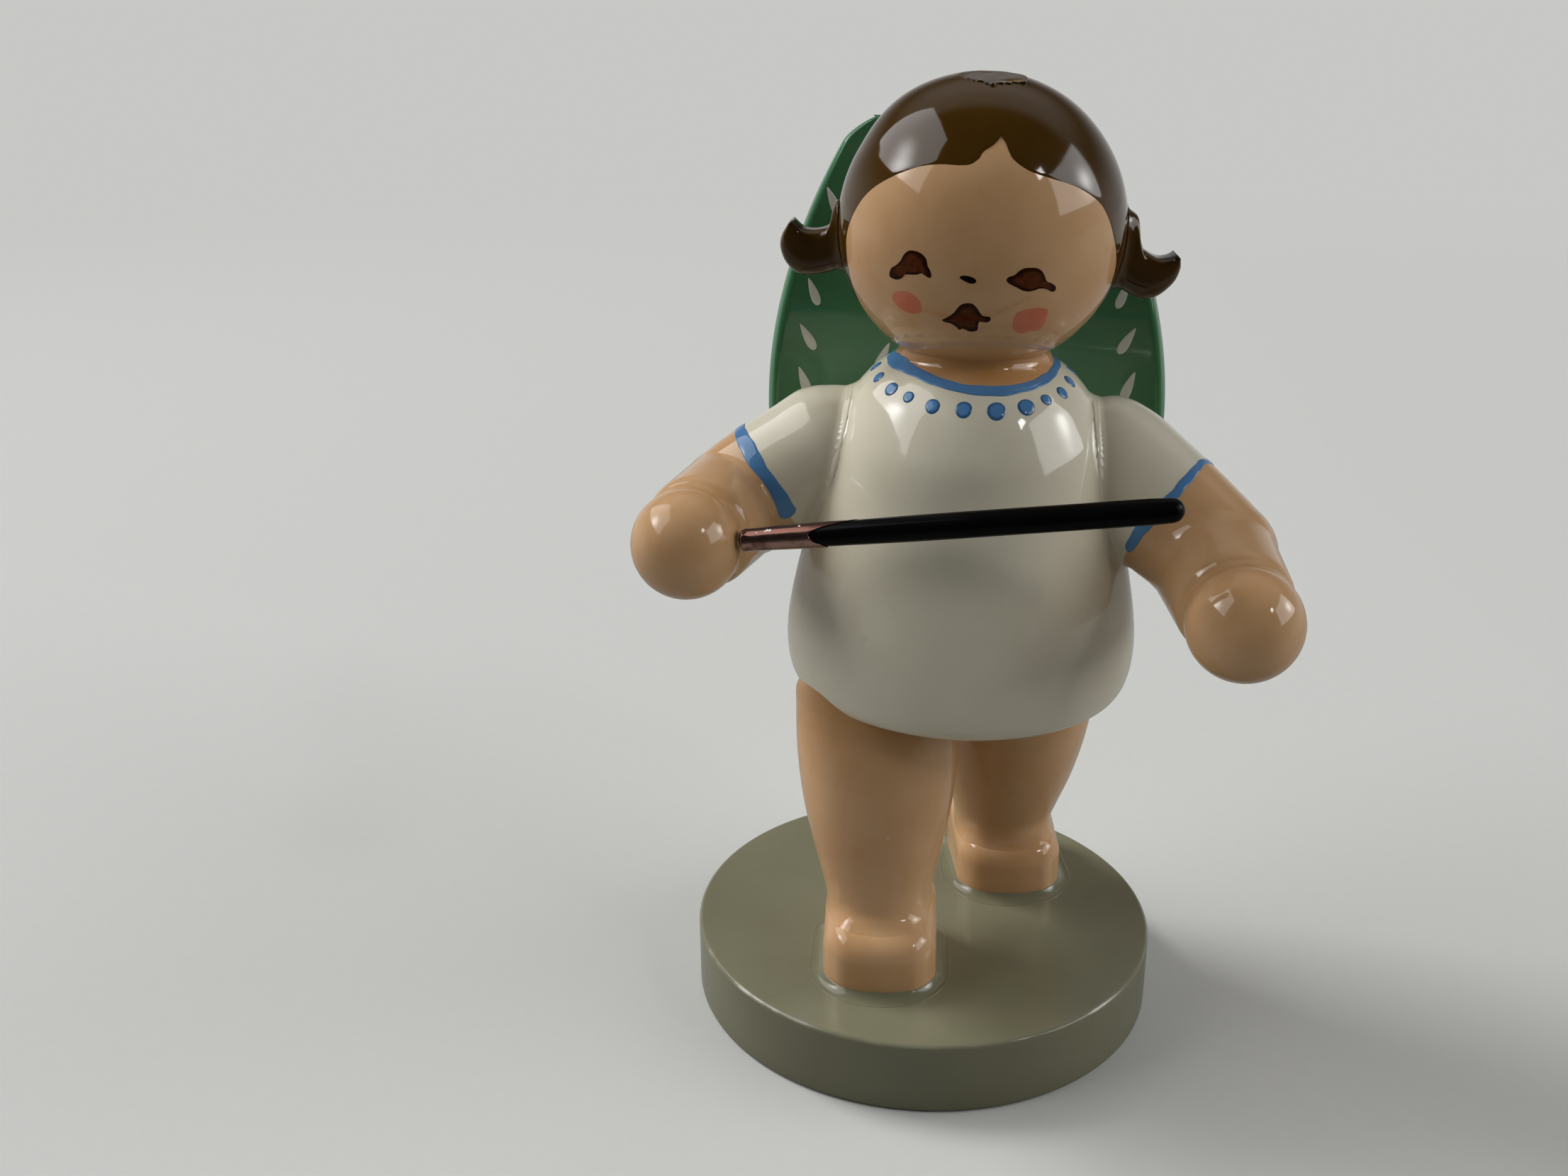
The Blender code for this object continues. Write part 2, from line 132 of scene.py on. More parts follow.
def smooth_curve(points: Sequence, steps: int, closed: bool = False) -> Array:
    """A Catmull-Rom curve: each span is the cubic that its four nearest points blend to.

    Args:
        points: The points that the curve passes through.
        steps: Number of steps from each point to the next.
        closed: Whether the last point joins the first.

    Returns:
        The points of the curve in order.
    """
    given = np.asarray(points, dtype=float)
    if closed:
        spans = [np.roll(given, shift, axis=0) for shift in (1, 0, -1, -2)]
    else:
        longer = np.vstack([2 * given[0] - given[1], given, 2 * given[-1] - given[-2]])
        spans = [longer[:-3], longer[1:-2], longer[2:-1], longer[3:]]
    a, b, c, d = (span[:, None, :] for span in spans)
    t = (np.arange(steps) / steps)[None, :, None]
    cubic = 2 * b + (c - a) * t + (2 * a - 5 * b + 4 * c - d) * t**2
    curve = (0.5 * (cubic + (3 * b - a - 3 * c + d) * t**3)).reshape(-1, given.shape[1])
    return curve if closed else np.vstack([curve, given[-1]])


def lengths(curve: Array) -> Array:
    """Length along a curve up to each of its points."""
    steps = np.linalg.norm(np.diff(curve, axis=0), axis=1)
    return np.concatenate([[0.0], np.cumsum(steps)])


def even_steps(curve: Array, count: int) -> Array:
    """A curve resampled to a count of points, at equal shares of its length."""
    run = lengths(curve)
    wanted = np.linspace(0.0, run[-1], count)
    return joined(*(np.interp(wanted, run, line) for line in curve.T))


def turned(profile: Array, columns: int) -> Array:
    """A profile carried round the Z axis: x = r cos a, y = r sin a, z = h.

    Args:
        profile: Points (radius, height).
        columns: Number of points round the axis.

    Returns:
        Points of shape (rows, columns, 3).
    """
    angle = circle(columns)
    radius, height = profile[:, :1], profile[:, 1:]
    return joined(radius * np.cos(angle), radius * np.sin(angle), height)


def ball(radius: float, rows: int, columns: int) -> Array:
    """A sphere about the origin: circles of radius R sin t at height R cos t."""
    t = np.linspace(0.01, np.pi - 0.01, rows)
    return turned(radius * joined(np.sin(t), np.cos(t)), columns)


def outward_normals(points: Array) -> Array:
    """Normals of a grid that closes across its columns: across times along, pointing outwards."""
    across = np.roll(points, -1, axis=1) - np.roll(points, 1, axis=1)
    normals = unit(np.cross(across, np.gradient(points, axis=0)))
    middle = points.mean(axis=1, keepdims=True)
    return normals if np.sum(normals * (points - middle)) > 0 else -normals


def drawn_in(points: Array, gap: Array, reach: float, fill: float) -> Array:
    """Lacquer drawn into a crease: moved outwards by fill times (1 - gap / reach) squared.

    Args:
        points: Grid of points.
        gap: Distance of each point from the neighbouring surface.
        reach: Distance at which the lacquer begins to rise.
        fill: Thickness of the lacquer in the crease.

    Returns:
        The moved points.
    """
    rise = np.clip(1.0 - np.abs(gap) / reach, 0.0, 1.0) ** 2
    return points + outward_normals(points) * (fill * rise)[..., None]


def sampled(grid: Array, rows: Array, columns: Array) -> Array:
    """Values of a grid between its points, blended both ways and closing across its columns.

    Args:
        grid: Grid of shape (rows, columns, values).
        rows: Wanted rows, with fractions.
        columns: Wanted columns, with fractions.

    Returns:
        The blended values.
    """
    count = grid.shape[1]
    low = np.clip(np.floor(rows).astype(int), 0, grid.shape[0] - 2)
    left = np.floor(columns).astype(int)
    down, right = (rows - low)[..., None], (columns - left)[..., None]
    first, second = left % count, (left + 1) % count
    near = grid[low, first] * (1 - right) + grid[low, second] * right
    far = grid[low + 1, first] * (1 - right) + grid[low + 1, second] * right
    return near * (1 - down) + far * down


def filleted(
    points: Array, other: Callable[[Array], Array], reach: float, depth: float
) -> Array:
    """A surface rounded into its neighbour, without a crease.

    Each point moves out along its normal by a, to where it is b from the neighbour and the smooth
    union min(a, b) - max(k - |a - b|, 0)^2 / (4 k) is zero. k is the reach times one less the
    cosine between the two surfaces, so surfaces that run alongside each other stay as they are.

    Args:
        points: Grid of points.
        other: Distance from its neighbour.
        reach: Distance over which two surfaces at a right angle flow together.
        depth: How far inside the neighbour the surface has sunk back to its own form.

    Returns:
        The moved points.
    """
    normals = outward_normals(points)
    low, high = np.zeros(points.shape[:2]), np.full(points.shape[:2], reach)
    for _ in range(FILLET_HALVINGS):
        a = (low + high) / 2
        moved = points + normals * a[..., None]
        b = other(moved)
        probes = FILLET_PROBE * np.eye(3)
        slope = joined(*(other(moved + step) - other(moved - step) for step in probes))
        k = reach * np.clip(1.0 - np.sum(normals * unit(slope), -1), 0.05, 1.0)
        fill = np.maximum(k - np.abs(a - b), 0.0) ** 2 / (4 * k)
        inside = np.minimum(a, b) < fill
        low, high = np.where(inside, a, low), np.where(inside, high, a)
    sunk = 0.05 * (b < a) * np.clip(1.0 - fill / 0.02, 0.0, 1.0)
    shown = np.clip(2.0 + 2.0 * other(points) / depth, 0.0, 1.0)
    return points + normals * (np.maximum(low - sunk, 0.0) * shown)[..., None]


def nearness(gaps: Sequence[Array], reach: float) -> Array:
    """How thick varnish has settled and how deep the painted shade is near a neighbour: falls off
    exponentially with the distance to it.
    """
    return np.clip(sum(np.exp(-np.abs(gap) / reach) for gap in gaps), 0.0, 1.0)


@dataclass(frozen=True)
class Place:
    """A frame in the figure: its origin, and its three axes as the rows of an array."""

    origin: Array
    axes: Array

    @classmethod
    def along(cls, start: Sequence[float], end: Sequence[float]) -> "Place":
        """A frame at start whose third axis points to end and whose second looks upwards."""
        first, last = np.asarray(start, dtype=float), np.asarray(end, dtype=float)
        way = unit(last - first)
        upright = np.array((0.0, 0.0, 1.0)) if abs(way[2]) < 0.98 else np.array((0.0, -1.0, 0.0))
        side = unit(np.cross(upright, way))
        return cls(first, np.stack([side, np.cross(way, side), way]))

    def out(self, points: Array) -> Array:
        """Points of this frame in the part's frame."""
        return points @ self.axes + self.origin

    def into(self, points: Array) -> Array:
        """Points of the part's frame in this frame."""
        return (points - self.origin) @ self.axes.T


@dataclass(frozen=True)
class Turning:
    """A turned form: a profile of (radius, height), rising in height, about a placed axis."""

    profile: Array
    place: Place

    def surface(self, columns: int) -> Array:
        """The form's skin as a grid in the part's frame."""
        return self.place.out(turned(self.profile, columns))

    def gap(self, points: Array) -> Array:
        """Distance of points from the turned side, positive outside it."""
        local = self.place.into(points)
        radius, height = self.profile.T
        slope = np.gradient(radius) / np.maximum(np.gradient(height), 1e-4)
        wanted = np.interp(local[..., 2], height, radius)
        lean = np.interp(local[..., 2], height, slope)
        away = np.hypot(local[..., 0], local[..., 1]) - wanted
        beyond = np.maximum(local[..., 2] - height[-1], height[0] - local[..., 2])
        return np.maximum(away / np.sqrt(1.0 + lean**2), beyond)


@dataclass
class Skin:
    """One closed surface: a grid whose columns close, and whose ends are capped or joined.

    Args:
        points: Grid of shape (rows, columns, 3).
        looped: Whether the last row joins the first, as round a ring.
        marks: Values on the grid that the finishes read, by name.
    """

    points: Array
    looped: bool = False
    marks: dict[str, Array] = field(default_factory=dict)

    def shell(self) -> tuple[Array, Array, Array]:
        """The surface as vertices, quads and end triangles, all facing outwards."""
        rows, columns = self.points.shape[:2]
        index = np.arange(rows * columns).reshape(rows, columns)
        ahead = np.roll(index, -1, axis=1)
        verts = self.points.reshape(-1, 3)
        tris = np.zeros((0, 3), dtype=int)
        if self.looped:
            grids = (index, ahead, np.roll(ahead, -1, axis=0), np.roll(index, -1, axis=0))
        else:
            lower, upper = slice(None, -1), slice(1, None)
            grids = (index[lower], ahead[lower], ahead[upper], index[upper])
            ends = np.stack([self.points[0].mean(axis=0), self.points[-1].mean(axis=0)])
            first = rows * columns
            fans = [joined(first, ahead[0], index[0]), joined(first + 1, index[-1], ahead[-1])]
            verts, tris = np.vstack([verts, ends]), np.vstack(fans)
        quads = joined(*grids).reshape(-1, 4)
        split = np.vstack([quads[:, :3], quads[:, [0, 2, 3]], tris])
        a, b, c = (verts[split[:, k]] for k in range(3))
        if np.sum(a * np.cross(b, c)) < 0:
            quads, tris = quads[:, ::-1], tris[:, ::-1]
        return verts, quads, tris

    def values(self, name: str) -> Array:
        """One mark as a value for each vertex, its caps taking the mean of their ring."""
        grid = self.marks.get(name, np.zeros(self.points.shape[:2]))
        if self.looped:
            return grid.ravel()
        return np.concatenate([grid.ravel(), [grid[0].mean(), grid[-1].mean()]])


class Net:
    """A node tree, with short ways to add the nodes that the finishes use."""

    def __init__(self, tree: Tree) -> None:
        """Takes up a tree."""
        self.tree = tree

    def feed(self, node: Node, inputs: dict[Any, Any]) -> None:
        """Links sockets and sets values on a node's inputs, by name or number."""
        for key, value in inputs.items():
            if isinstance(value, Socket):
                self.tree.links.new(value, node.inputs[key])
            else:
                node.inputs[key].default_value = value

    def add(self, kind: str, inputs: Optional[dict[Any, Any]] = None, **settings: Any) -> Node:
        """Adds a shader node.

        Args:
            kind: The node's type, without ShaderNode before it.
            inputs: Sockets to link and values to set, by input name or number.
            settings: Properties to set on it.

        Returns:
            The node.
        """
        made = self.tree.nodes.new("ShaderNode" + kind)
        for key, value in settings.items():
            setattr(made, key, value)
        self.feed(made, inputs or {})
        return made

    def maths(self, operation: str, *values: Any) -> Socket:
        """A Math node's result."""
        return self.add("Math", dict(enumerate(values)), operation=operation).outputs[0]

    def times(self, first: Any, second: Any) -> Socket:
        """Two values multiplied."""
        return self.maths("MULTIPLY", first, second)

    def rest(self, value: Any) -> Socket:
        """One less a value."""
        return self.maths("SUBTRACT", 1.0, value)

    def ramp(self, value: Any, low: float, high: float) -> Socket:
        """A smooth step of a value, from 0 at low to 1 at high."""
        inputs = {0: value, 1: low, 2: high, 3: 0.0, 4: 1.0}
        return self.add("MapRange", inputs, interpolation_type="SMOOTHSTEP").outputs[0]

    def blend(self, share: Any, under: Any, over: Any) -> Socket:
        """A mix of two colours."""
        inputs = {0: share, 6: opaque(under), 7: opaque(over)}
        return self.add("Mix", inputs, data_type="RGBA").outputs[2]

    def noise(self, where: Any, scale: Any, detail: float) -> Socket:
        """A noise texture's value."""
        inputs = {"Vector": where, "Scale": scale, "Detail": detail}
        return self.add("TexNoise", inputs).outputs[0]

    def cells(self, where: Any, scale: Any) -> Any:
        """The outputs of a pattern of cells."""
        return self.add("TexVoronoi", {"Vector": where, "Scale": scale}, feature="F1").outputs

    def drawn(self, where: Any, stretch: float) -> Socket:
        """Coordinates drawn out along Z."""
        inputs = {"Vector": where, "Scale": (1.0, 1.0, stretch)}
        return self.add("Mapping", inputs, vector_type="TEXTURE").outputs[0]

    def mark(self, name: str) -> Socket:
        """The value of a piece's own mark."""
        return self.add("Attribute", attribute_name=name).outputs["Fac"]

    def use(self, group: Tree, inputs: dict[str, Any]) -> Any:
        """The outputs of a shared effect, placed here with its own values."""
        return self.add("Group", inputs, node_tree=group).outputs


class Coat(Net):
    """A node material in the making: its nodes, Principled shader and Object coordinates."""

    def __init__(self, name: str) -> None:
        """Starts a material of that name."""
        self.material = bpy.data.materials.new(name)
        self.material.use_nodes = True
        super().__init__(self.material.node_tree)
        self.shader = self.tree.nodes["Principled BSDF"]
        self.where = self.add("TexCoord").outputs["Object"]

    def bump(self, height: Socket, distance: float) -> Socket:
        """A normal that follows a height, given its distance in millimetres."""
        return self.add("Bump", {"Distance": distance * MM, "Height": height}).outputs[0]


def opaque(colour: Any) -> Any:
    """A colour with full alpha; a socket stays as it is."""
    return (*colour, 1.0) if isinstance(colour, tuple) else colour


class Effects:
    """Node groups that several finishes share."""

    def __init__(self) -> None:
        """Builds each group once."""
        self.film = self._film()
        self.pigment = self._pigment()
        self.dust = self._dust()

    @staticmethod
    def _group(
        name: str, inputs: dict[str, str], outputs: dict[str, str]
    ) -> tuple[Net, Any, Node]:
        """An empty group with its sockets.

        Args:
            name: The group's name.
            inputs: Kind of each input by name.
            outputs: Kind of each output by name.

        Returns:
            The group's nodes, its input sockets and its output node.
        """
        tree = bpy.data.node_groups.new(name, "ShaderNodeTree")
        for way, sockets in (("INPUT", inputs), ("OUTPUT", outputs)):
            for label, kind in sockets.items():
                tree.interface.new_socket(label, in_out=way, socket_type="NodeSocket" + kind)
        entry = tree.nodes.new("NodeGroupInput")
        return Net(tree), entry.outputs, tree.nodes.new("NodeGroupOutput")

    def _film(self) -> Tree:
        """Lacquer film: orange peel, slow waves and fine pits, and where fingers dulled it."""
        net, given, result = self._group(
            "lacquer_film",
            {"Vector": "Vector", "Peel": "Float", "Low": "Float", "High": "Float"},
            {"Height": "Float", "Roughness": "Float"},
        )
        where, size = given["Vector"], given["Peel"]
        peel = net.noise(where, size, 2.0)
        waves = net.noise(where, net.times(size, 0.22), 1.0)
        pits = net.cells(where, net.times(size, 0.35))
        hole = net.rest(net.ramp(pits["Distance"], 0.02, 0.09))
        body = net.maths("MULTIPLY_ADD", waves, 2.2, net.times(peel, 0.5))
        height = net.maths("SUBTRACT", body, net.times(hole, 0.5))
        smudge = net.ramp(net.noise(where, SMUDGE_SCALE, 4.0), 0.45, 0.8)
        spread = net.maths("SUBTRACT", given["High"], given["Low"])
        rough = net.maths("MULTIPLY_ADD", smudge, spread, given["Low"])
        net.feed(result, {"Height": height, "Roughness": rough})
        return net.tree

    def _pigment(self) -> Tree:
        """Pigment: clouds and brush streaks between a light and a deep tone, deeper where varnish
        pools and where shade is painted into creases and hollows.
        """
        kinds = {"Vector": "Vector", "Size": "Float", "Pool_and_shade": "Float"}
        kinds.update({"Light": "Color", "Deep": "Color"})
        net, given, result = self._group("pigment_drift", kinds, {"Color": "Color"})
        where, size = given["Vector"], given["Size"]
        clouds = net.noise(where, size, 3.0)
        streaks = net.noise(net.drawn(where, 7.0), net.times(size, 9.0), 2.0)
        mottle = net.maths("MULTIPLY_ADD", streaks, 0.1, net.times(clouds, 0.8))
        share = net.maths("MULTIPLY_ADD", given["Pool_and_shade"], 0.8, net.ramp(mottle, 0.2, 1.1))
        share = net.maths("MINIMUM", share, 1.0)
        net.feed(result, {"Color": net.blend(share, given["Light"], given["Deep"])})
        return net.tree

    def _dust(self) -> Tree:
        """Dust: one small speck in some cells of a Voronoi pattern."""
        kinds = {"Vector": "Vector", "Scale": "Float", "Share": "Float"}
        net, given, result = self._group("dust_specks", kinds, {"Mask": "Float"})
        cells = net.cells(given["Vector"], given["Scale"])
        speck = net.rest(net.ramp(cells["Distance"], 0.03, 0.08))
        chance = net.add("SeparateColor", {0: cells["Color"]}).outputs[0]
        picked = net.maths("LESS_THAN", chance, given["Share"])
        net.feed(result, {"Mask": net.times(speck, picked)})
        return net.tree


@dataclass(frozen=True)
class Lacquer:
    """A gloss lacquer.

    Args:
        name: The material's name.
        light: Its pigment where it lies thin.
        deep: Its pigment where it is thick, and where shade is painted into creases and hollows.
        clouds: Size of the pigment's clouds.
        gloss: Lowest and highest roughness.
        peel: Size of the orange peel.
        depth: Height of the orange peel.
        dust: Share of cells that hold a dust speck.
        rim: Colour that the paint dries to along its outline.
        rub: Colour that shows along the piece's mark of that name: worn lacquer, and on the base's
            rim also a painted highlight.
        index: How strongly it reflects, as a refractive index.
        over: A second lacquer that shows where the piece's mark "bare" is above zero.
    """

    name: str
    light: Colour
    deep: Colour
    clouds: float = 4.0
    gloss: Pair = (0.06, 0.13)
    peel: float = 0.9
    depth: float = 0.004
    dust: float = 0.02
    rim: Optional[Colour] = None
    rub: Optional[Colour] = None
    index: float = 1.42
    over: Optional["Lacquer"] = None

    def tone(self, effects: Effects, coat: Coat) -> Socket:
        """The pigment's colour over the surface."""
        # The deep tone also follows the mark for settled varnish and painted shade.
        inputs = {"Vector": coat.where, "Size": 1.0 / (self.clouds * MM), "Pool_and_shade": coat.mark("pool")}
        inputs.update({"Light": opaque(self.light), "Deep": opaque(self.deep)})
        return coat.use(effects.pigment, inputs)[0]

    def material(self, effects: Effects) -> Material:
        """The lacquer as a material.

        Args:
            effects: The shared node groups.

        Returns:
            The material.
        """
        coat = Coat(self.name)
        where = coat.where
        colour = self.tone(effects, coat)
        if self.over:
            edge = coat.ramp(coat.mark("bare"), -0.03, 0.03)
            colour = coat.blend(edge, colour, self.over.tone(effects, coat))
        if self.rim:
            ragged = coat.times(coat.noise(where, RAGGED_SCALE, 3.0), 0.3)
            outline = coat.ramp(coat.maths("ADD", coat.mark("rim"), ragged), 0.74, 0.98)
            colour = coat.blend(outline, colour, self.rim)
        # A pale, broken colour along the edge mark: worn lacquer, and on the base's rim also a
        # painted highlight.
        if self.rub:
            broken = coat.ramp(coat.noise(where, BREAK_UP_SCALE, 5.0), 0.46, 0.66)
            colour = coat.blend(coat.times(broken, coat.mark("rub")), colour, self.rub)
        specks = {"Vector": where, "Scale": DUST_CELLS, "Share": self.dust}
        dust = coat.use(effects.dust, specks)[0]
        colour = coat.blend(coat.times(dust, DUST_COVER), colour, DUST_TONE)
        low, high = self.gloss
        inputs = {"Vector": where, "Peel": 1.0 / (self.peel * MM), "Low": low, "High": high}
        film = coat.use(effects.film, inputs)
        height = coat.maths("ADD", film["Height"], dust)
        surface = {"Base Color": colour, "Roughness": film["Roughness"], "IOR": self.index}
        coat.feed(coat.shader, {**surface, "Normal": coat.bump(height, self.depth)})
        return coat.material


@dataclass(frozen=True)
class Copper:
    """Coppered metal of the ferrule, tarnished in streaks, with flakes of dried white paint."""

    name: str = "ferrule_metal"
    bright: Colour = (0.38, 0.23, 0.19)
    dark_metal: Colour = (0.14, 0.065, 0.05)
    flake: Colour = (0.78, 0.75, 0.70)
    stain_scale: float = 1100.0
    flake_scale: float = 1700.0
    peel_scale: float = 2400.0
    gloss: Pair = (0.1, 0.22)
    depth: float = 0.006

    def material(self, effects: Effects) -> Material:
        """The metal as a material.

        Args:
            effects: The shared node groups.

        Returns:
            The material.
        """
        coat = Coat(self.name)
        where, upper = coat.where, coat.mark("upper")
        darkening = coat.ramp(coat.noise(where, self.stain_scale, 4.0), 0.42, 0.72)
        # Over its upper side, as the camera sees it, the metal also takes the darker tone.
        darkening = coat.maths("MAXIMUM", darkening, coat.ramp(upper, 0.1, 0.4))
        colour = coat.blend(darkening, self.bright, self.dark_metal)
        flakes = coat.ramp(coat.noise(where, self.flake_scale, 2.0), 0.65, 0.69)
        flakes = coat.times(flakes, coat.ramp(upper, 0.1, 0.6))
        colour = coat.blend(flakes, colour, self.flake)
        low, high = self.gloss
        inputs = {"Vector": where, "Peel": self.peel_scale, "Low": low, "High": high}
        film = coat.use(effects.film, inputs)
        height = coat.maths("MULTIPLY_ADD", flakes, 2.0, film["Height"])
        surface = {"Base Color": colour, "Metallic": coat.rest(flakes)}
        surface["Roughness"] = film["Roughness"]
        coat.feed(coat.shader, {**surface, "Normal": coat.bump(height, self.depth)})
        return coat.material


@dataclass(frozen=True)
class Timber:
    """Bare hardwood of the hidden pegs, with fine grain along their height."""

    name: str = "bare_wood"
    early: Colour = (0.62, 0.44, 0.26)
    late: Colour = (0.45, 0.28, 0.14)
    grain_scale: float = 2600.0
    stretch: float = 12.0
    rough: float = 0.65
    depth: float = 0.02

    def material(self) -> Material:
        """The wood as a material."""
        coat = Coat(self.name)
        grain = coat.noise(coat.drawn(coat.where, self.stretch), self.grain_scale, 4.0)
        colour = coat.blend(coat.ramp(grain, 0.4, 0.65), self.early, self.late)
        surface = {"Base Color": colour, "Roughness": self.rough}
        coat.feed(coat.shader, {**surface, "Normal": coat.bump(grain, self.depth)})
        return coat.material


class Paint:
    """The figure's finishes."""

    SKIN = Lacquer("skin_lacquer", (0.58, 0.355, 0.185), (0.46, 0.235, 0.085))
    CREAM = Lacquer(
        "cream_lacquer", (0.70, 0.66, 0.53), (0.60, 0.545, 0.395), clouds=6.0, index=1.5
    )
    SHIRT = replace(CREAM, name="shirt_lacquer", over=SKIN)
    SLEEVE = replace(CREAM, name="sleeve_lacquer", over=SKIN)
    HAIR = Lacquer(
        "hair_lacquer",
        (0.060, 0.028, 0.0028),
        (0.030, 0.012, 0.0012),
        dust=0.05,
        rub=(0.25, 0.14, 0.035),
    )
    EYE = Lacquer(
        "eye_paint",
        (0.105, 0.027, 0.006),
        (0.004, 0.001, 0.0004),
        clouds=0.3,
        rim=(0.024, 0.007, 0.003),
        index=1.15,
    )
    NOSE = Lacquer("nose_paint", (0.010, 0.003, 0.002), (0.005, 0.002, 0.001), index=1.15)
    CHEEK = Lacquer("cheek_paint", (0.60, 0.185, 0.105), (0.50, 0.115, 0.055), clouds=1.2)
    BLUE = Lacquer(
        "blue_trim",
        (0.085, 0.225, 0.45),
        (0.045, 0.135, 0.30),
        clouds=2.0,
        rim=(0.040, 0.115, 0.25),
    )
    GREEN = Lacquer("wing_lacquer", (0.070, 0.215, 0.100), (0.045, 0.150, 0.065), clouds=5.0)
    WHITE = Lacquer("white_strokes", (0.74, 0.74, 0.68), (0.60, 0.60, 0.52), clouds=1.5)
    BLACK = Lacquer(
        "handle_lacquer",
        (0.0025, 0.0025, 0.0025),
        (0.0012, 0.0012, 0.0012),
        gloss=(0.16, 0.28),
        dust=0.03,
        index=1.15,
    )
    OLIVE = Lacquer(
        "base_lacquer",
        (0.205, 0.200, 0.130),
        (0.150, 0.145, 0.085),
        clouds=7.0,
        gloss=(0.12, 0.22),
        dust=0.05,
        rub=(0.50, 0.49, 0.42),
    )
    COPPER = Copper()


class Bench:
    """Puts finished surfaces into Blender and files them with the frame."""

    def __init__(self) -> None:
        """Builds the shared effects, and starts with no materials and no pieces."""
        self.effects = Effects()
        self.made: dict[str, Material] = {}
        self.pieces: list[bpy.types.Object] = []

    def take(self, finish: Union[Lacquer, Copper]) -> Material:
        """The material of a finish, made the first time it is asked for."""
        if finish.name not in self.made:
            self.made[finish.name] = finish.material(self.effects)
        return self.made[finish.name]

    def file(
        self,
        name: str,
        skins: Sequence[Skin],
        finish: Union[Lacquer, Copper],
        nodes: Sequence[str] = (),
    ) -> None:
        """Makes one object of closed surfaces, riding on the figure.

        Args:
            name: The piece's name.
            skins: Its closed surfaces, in millimetres.
            finish: Its finish.
            nodes: CAD nodes that the piece stands for.
        """
        shells = [skin.shell() for skin in skins]
        starts = np.concatenate([[0], np.cumsum([len(shell[0]) for shell in shells])])
        faces: list[list[int]] = []
        for start, (_, quads, tris) in zip(starts, shells):
            faces += (quads + start).tolist() + (tris + start).tolist()
        mesh = bpy.data.meshes.new(name)
        mesh.from_pydata((np.vstack([shell[0] for shell in shells]) * MM).tolist(), [], faces)
        for mark in sorted({mark for skin in skins for mark in skin.marks}):
            layer = mesh.attributes.new(mark, "FLOAT", "POINT")
            layer.data.foreach_set("value", np.concatenate([s.values(mark) for s in skins]))
        mesh.shade_smooth()
        mesh.materials.append(self.take(finish))
        piece = bpy.data.objects.new(name, mesh)
        bpy.context.scene.collection.objects.link(piece)
        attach(piece, "root")
        if nodes:
            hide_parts(*nodes)
        self.pieces.append(piece)
        LOG.info("%s: %d faces for %s", name, len(faces), ", ".join(nodes) or "no node")

    def dress(self, node: str, skin: Skin, finish: Union[Lacquer, Copper]) -> None:
        """Files the surface that stands for one CAD node."""
        self.file(node + "_dressed", [skin], finish, [node])


def painted_patch(
    outline: Array,
    middle: Sequence[float],
    surface: Callable[[Array, Array], Array],
    height: float,
    rings: int = 14,
) -> Skin:
    """A dab of paint: rings from its middle to its outline, domed, with its edge let in.

    A point at share s of the way out lies at middle + s (outline - middle), and stands
    height (1 - s^6) above what carries it. The underside lies just below that surface.

    Args:
        outline: Closed outline in the carrier's own millimetres.
        middle: A point from which all of the outline can be seen.
        surface: Gives points for the carrier's coordinates and a lift.
        height: How thick the paint is.
        rings: Number of rings on the upper side.

    Returns:
        The closed dab, with its mark "rim" at 1 along the outline.
    """
    share = np.concatenate([np.linspace(0.03, 0.9, rings), [0.94, 0.97, 0.99, 1.0]])
    lift = height * (1.0 - share**6) - DAB_EDGE * share**6
    share = np.concatenate([share, [1.0, 0.5, 0.03]])[:, None]
    lift = np.concatenate([lift, np.full(3, -DAB_UNDERSIDE)])[:, None]
    centre = np.asarray(middle, dtype=float)
    spots = centre + share[..., None] * (outline - centre)
    lifts = np.broadcast_to(lift, spots.shape[:2])
    rim = np.broadcast_to(share, spots.shape[:2])
    return Skin(surface(spots, lifts), marks={"rim": rim})


def bead_section(points: int, height: float) -> tuple[Array, Array]:
    """Cross-section of a laid stroke: across from -1 to 1 and back below the surface."""
    turn = circle(points)
    lift = np.where(np.sin(turn) > 0, height * np.abs(np.sin(turn)) ** 0.6, 0.05 * np.sin(turn))
    return np.cos(turn), lift


@dataclass
class Base:
    """The round base, with its upper rim worn and carrying a painted highlight in places, each a
    middle and width in degrees.
    """

    radius: float = 16.5
    height: float = 5.2
    edge: float = 0.3
    rim_rise: float = 0.03
    worn: tuple[Pair, ...] = ((-47.0, 16.0), (42.0, 9.0), (160.0, 20.0))
    columns: int = 300

    def build(self, bench: Bench) -> None:
        """Builds the disc: its top, rounded rims, side and underside carried round the axis.

        Args:
            bench: Where pieces are filed.
        """
        flat = self.radius - self.edge
        out = np.linspace(0.3, flat, 60)
        top = joined(out, self.height - self.rim_rise * (1.0 - (out / flat) ** 8))
        t = np.linspace(0.0, np.pi / 2, 10)
        upper = joined(flat + self.edge * np.sin(t), self.height - self.edge * (1 - np.cos(t)))
        lower = joined(flat + self.edge * np.cos(t), self.edge * (1 - np.sin(t)))
        side = np.linspace(upper[-1], lower[0], 24)[1:-1]
        under = joined(np.linspace(flat, 0.3, 12)[1:], 0.0)
        points = turned(np.vstack([top, upper[1:], side, lower, under]), self.columns)
        # Darker towards the bottom of the side and on the underside: painted shade where the base
        # meets the floor.
        ground = np.exp(-points[..., 2] / 0.8)
        beyond = np.hypot(points[..., 0], points[..., 1]) - (self.radius - 0.09)
        # A pale, broken line along the upper rim, strongest in the listed arcs: partly wear, partly
        # a painted highlight on the rounded edge.
        rim = 1.0 - eased(np.hypot(beyond, points[..., 2] - (self.height - 0.09)), 0.05, 0.16)
        angle = np.degrees(np.arctan2(points[..., 0], -points[..., 1]))
        worn = sum(bell(angle, at, wide) for at, wide in self.worn)
        marks = {"pool": 0.5 * ground, "rub": rim * np.clip(0.15 + worn, 0.0, 1.0)}
        bench.dress("base_disc", Skin(points, marks=marks), Paint.OLIVE)


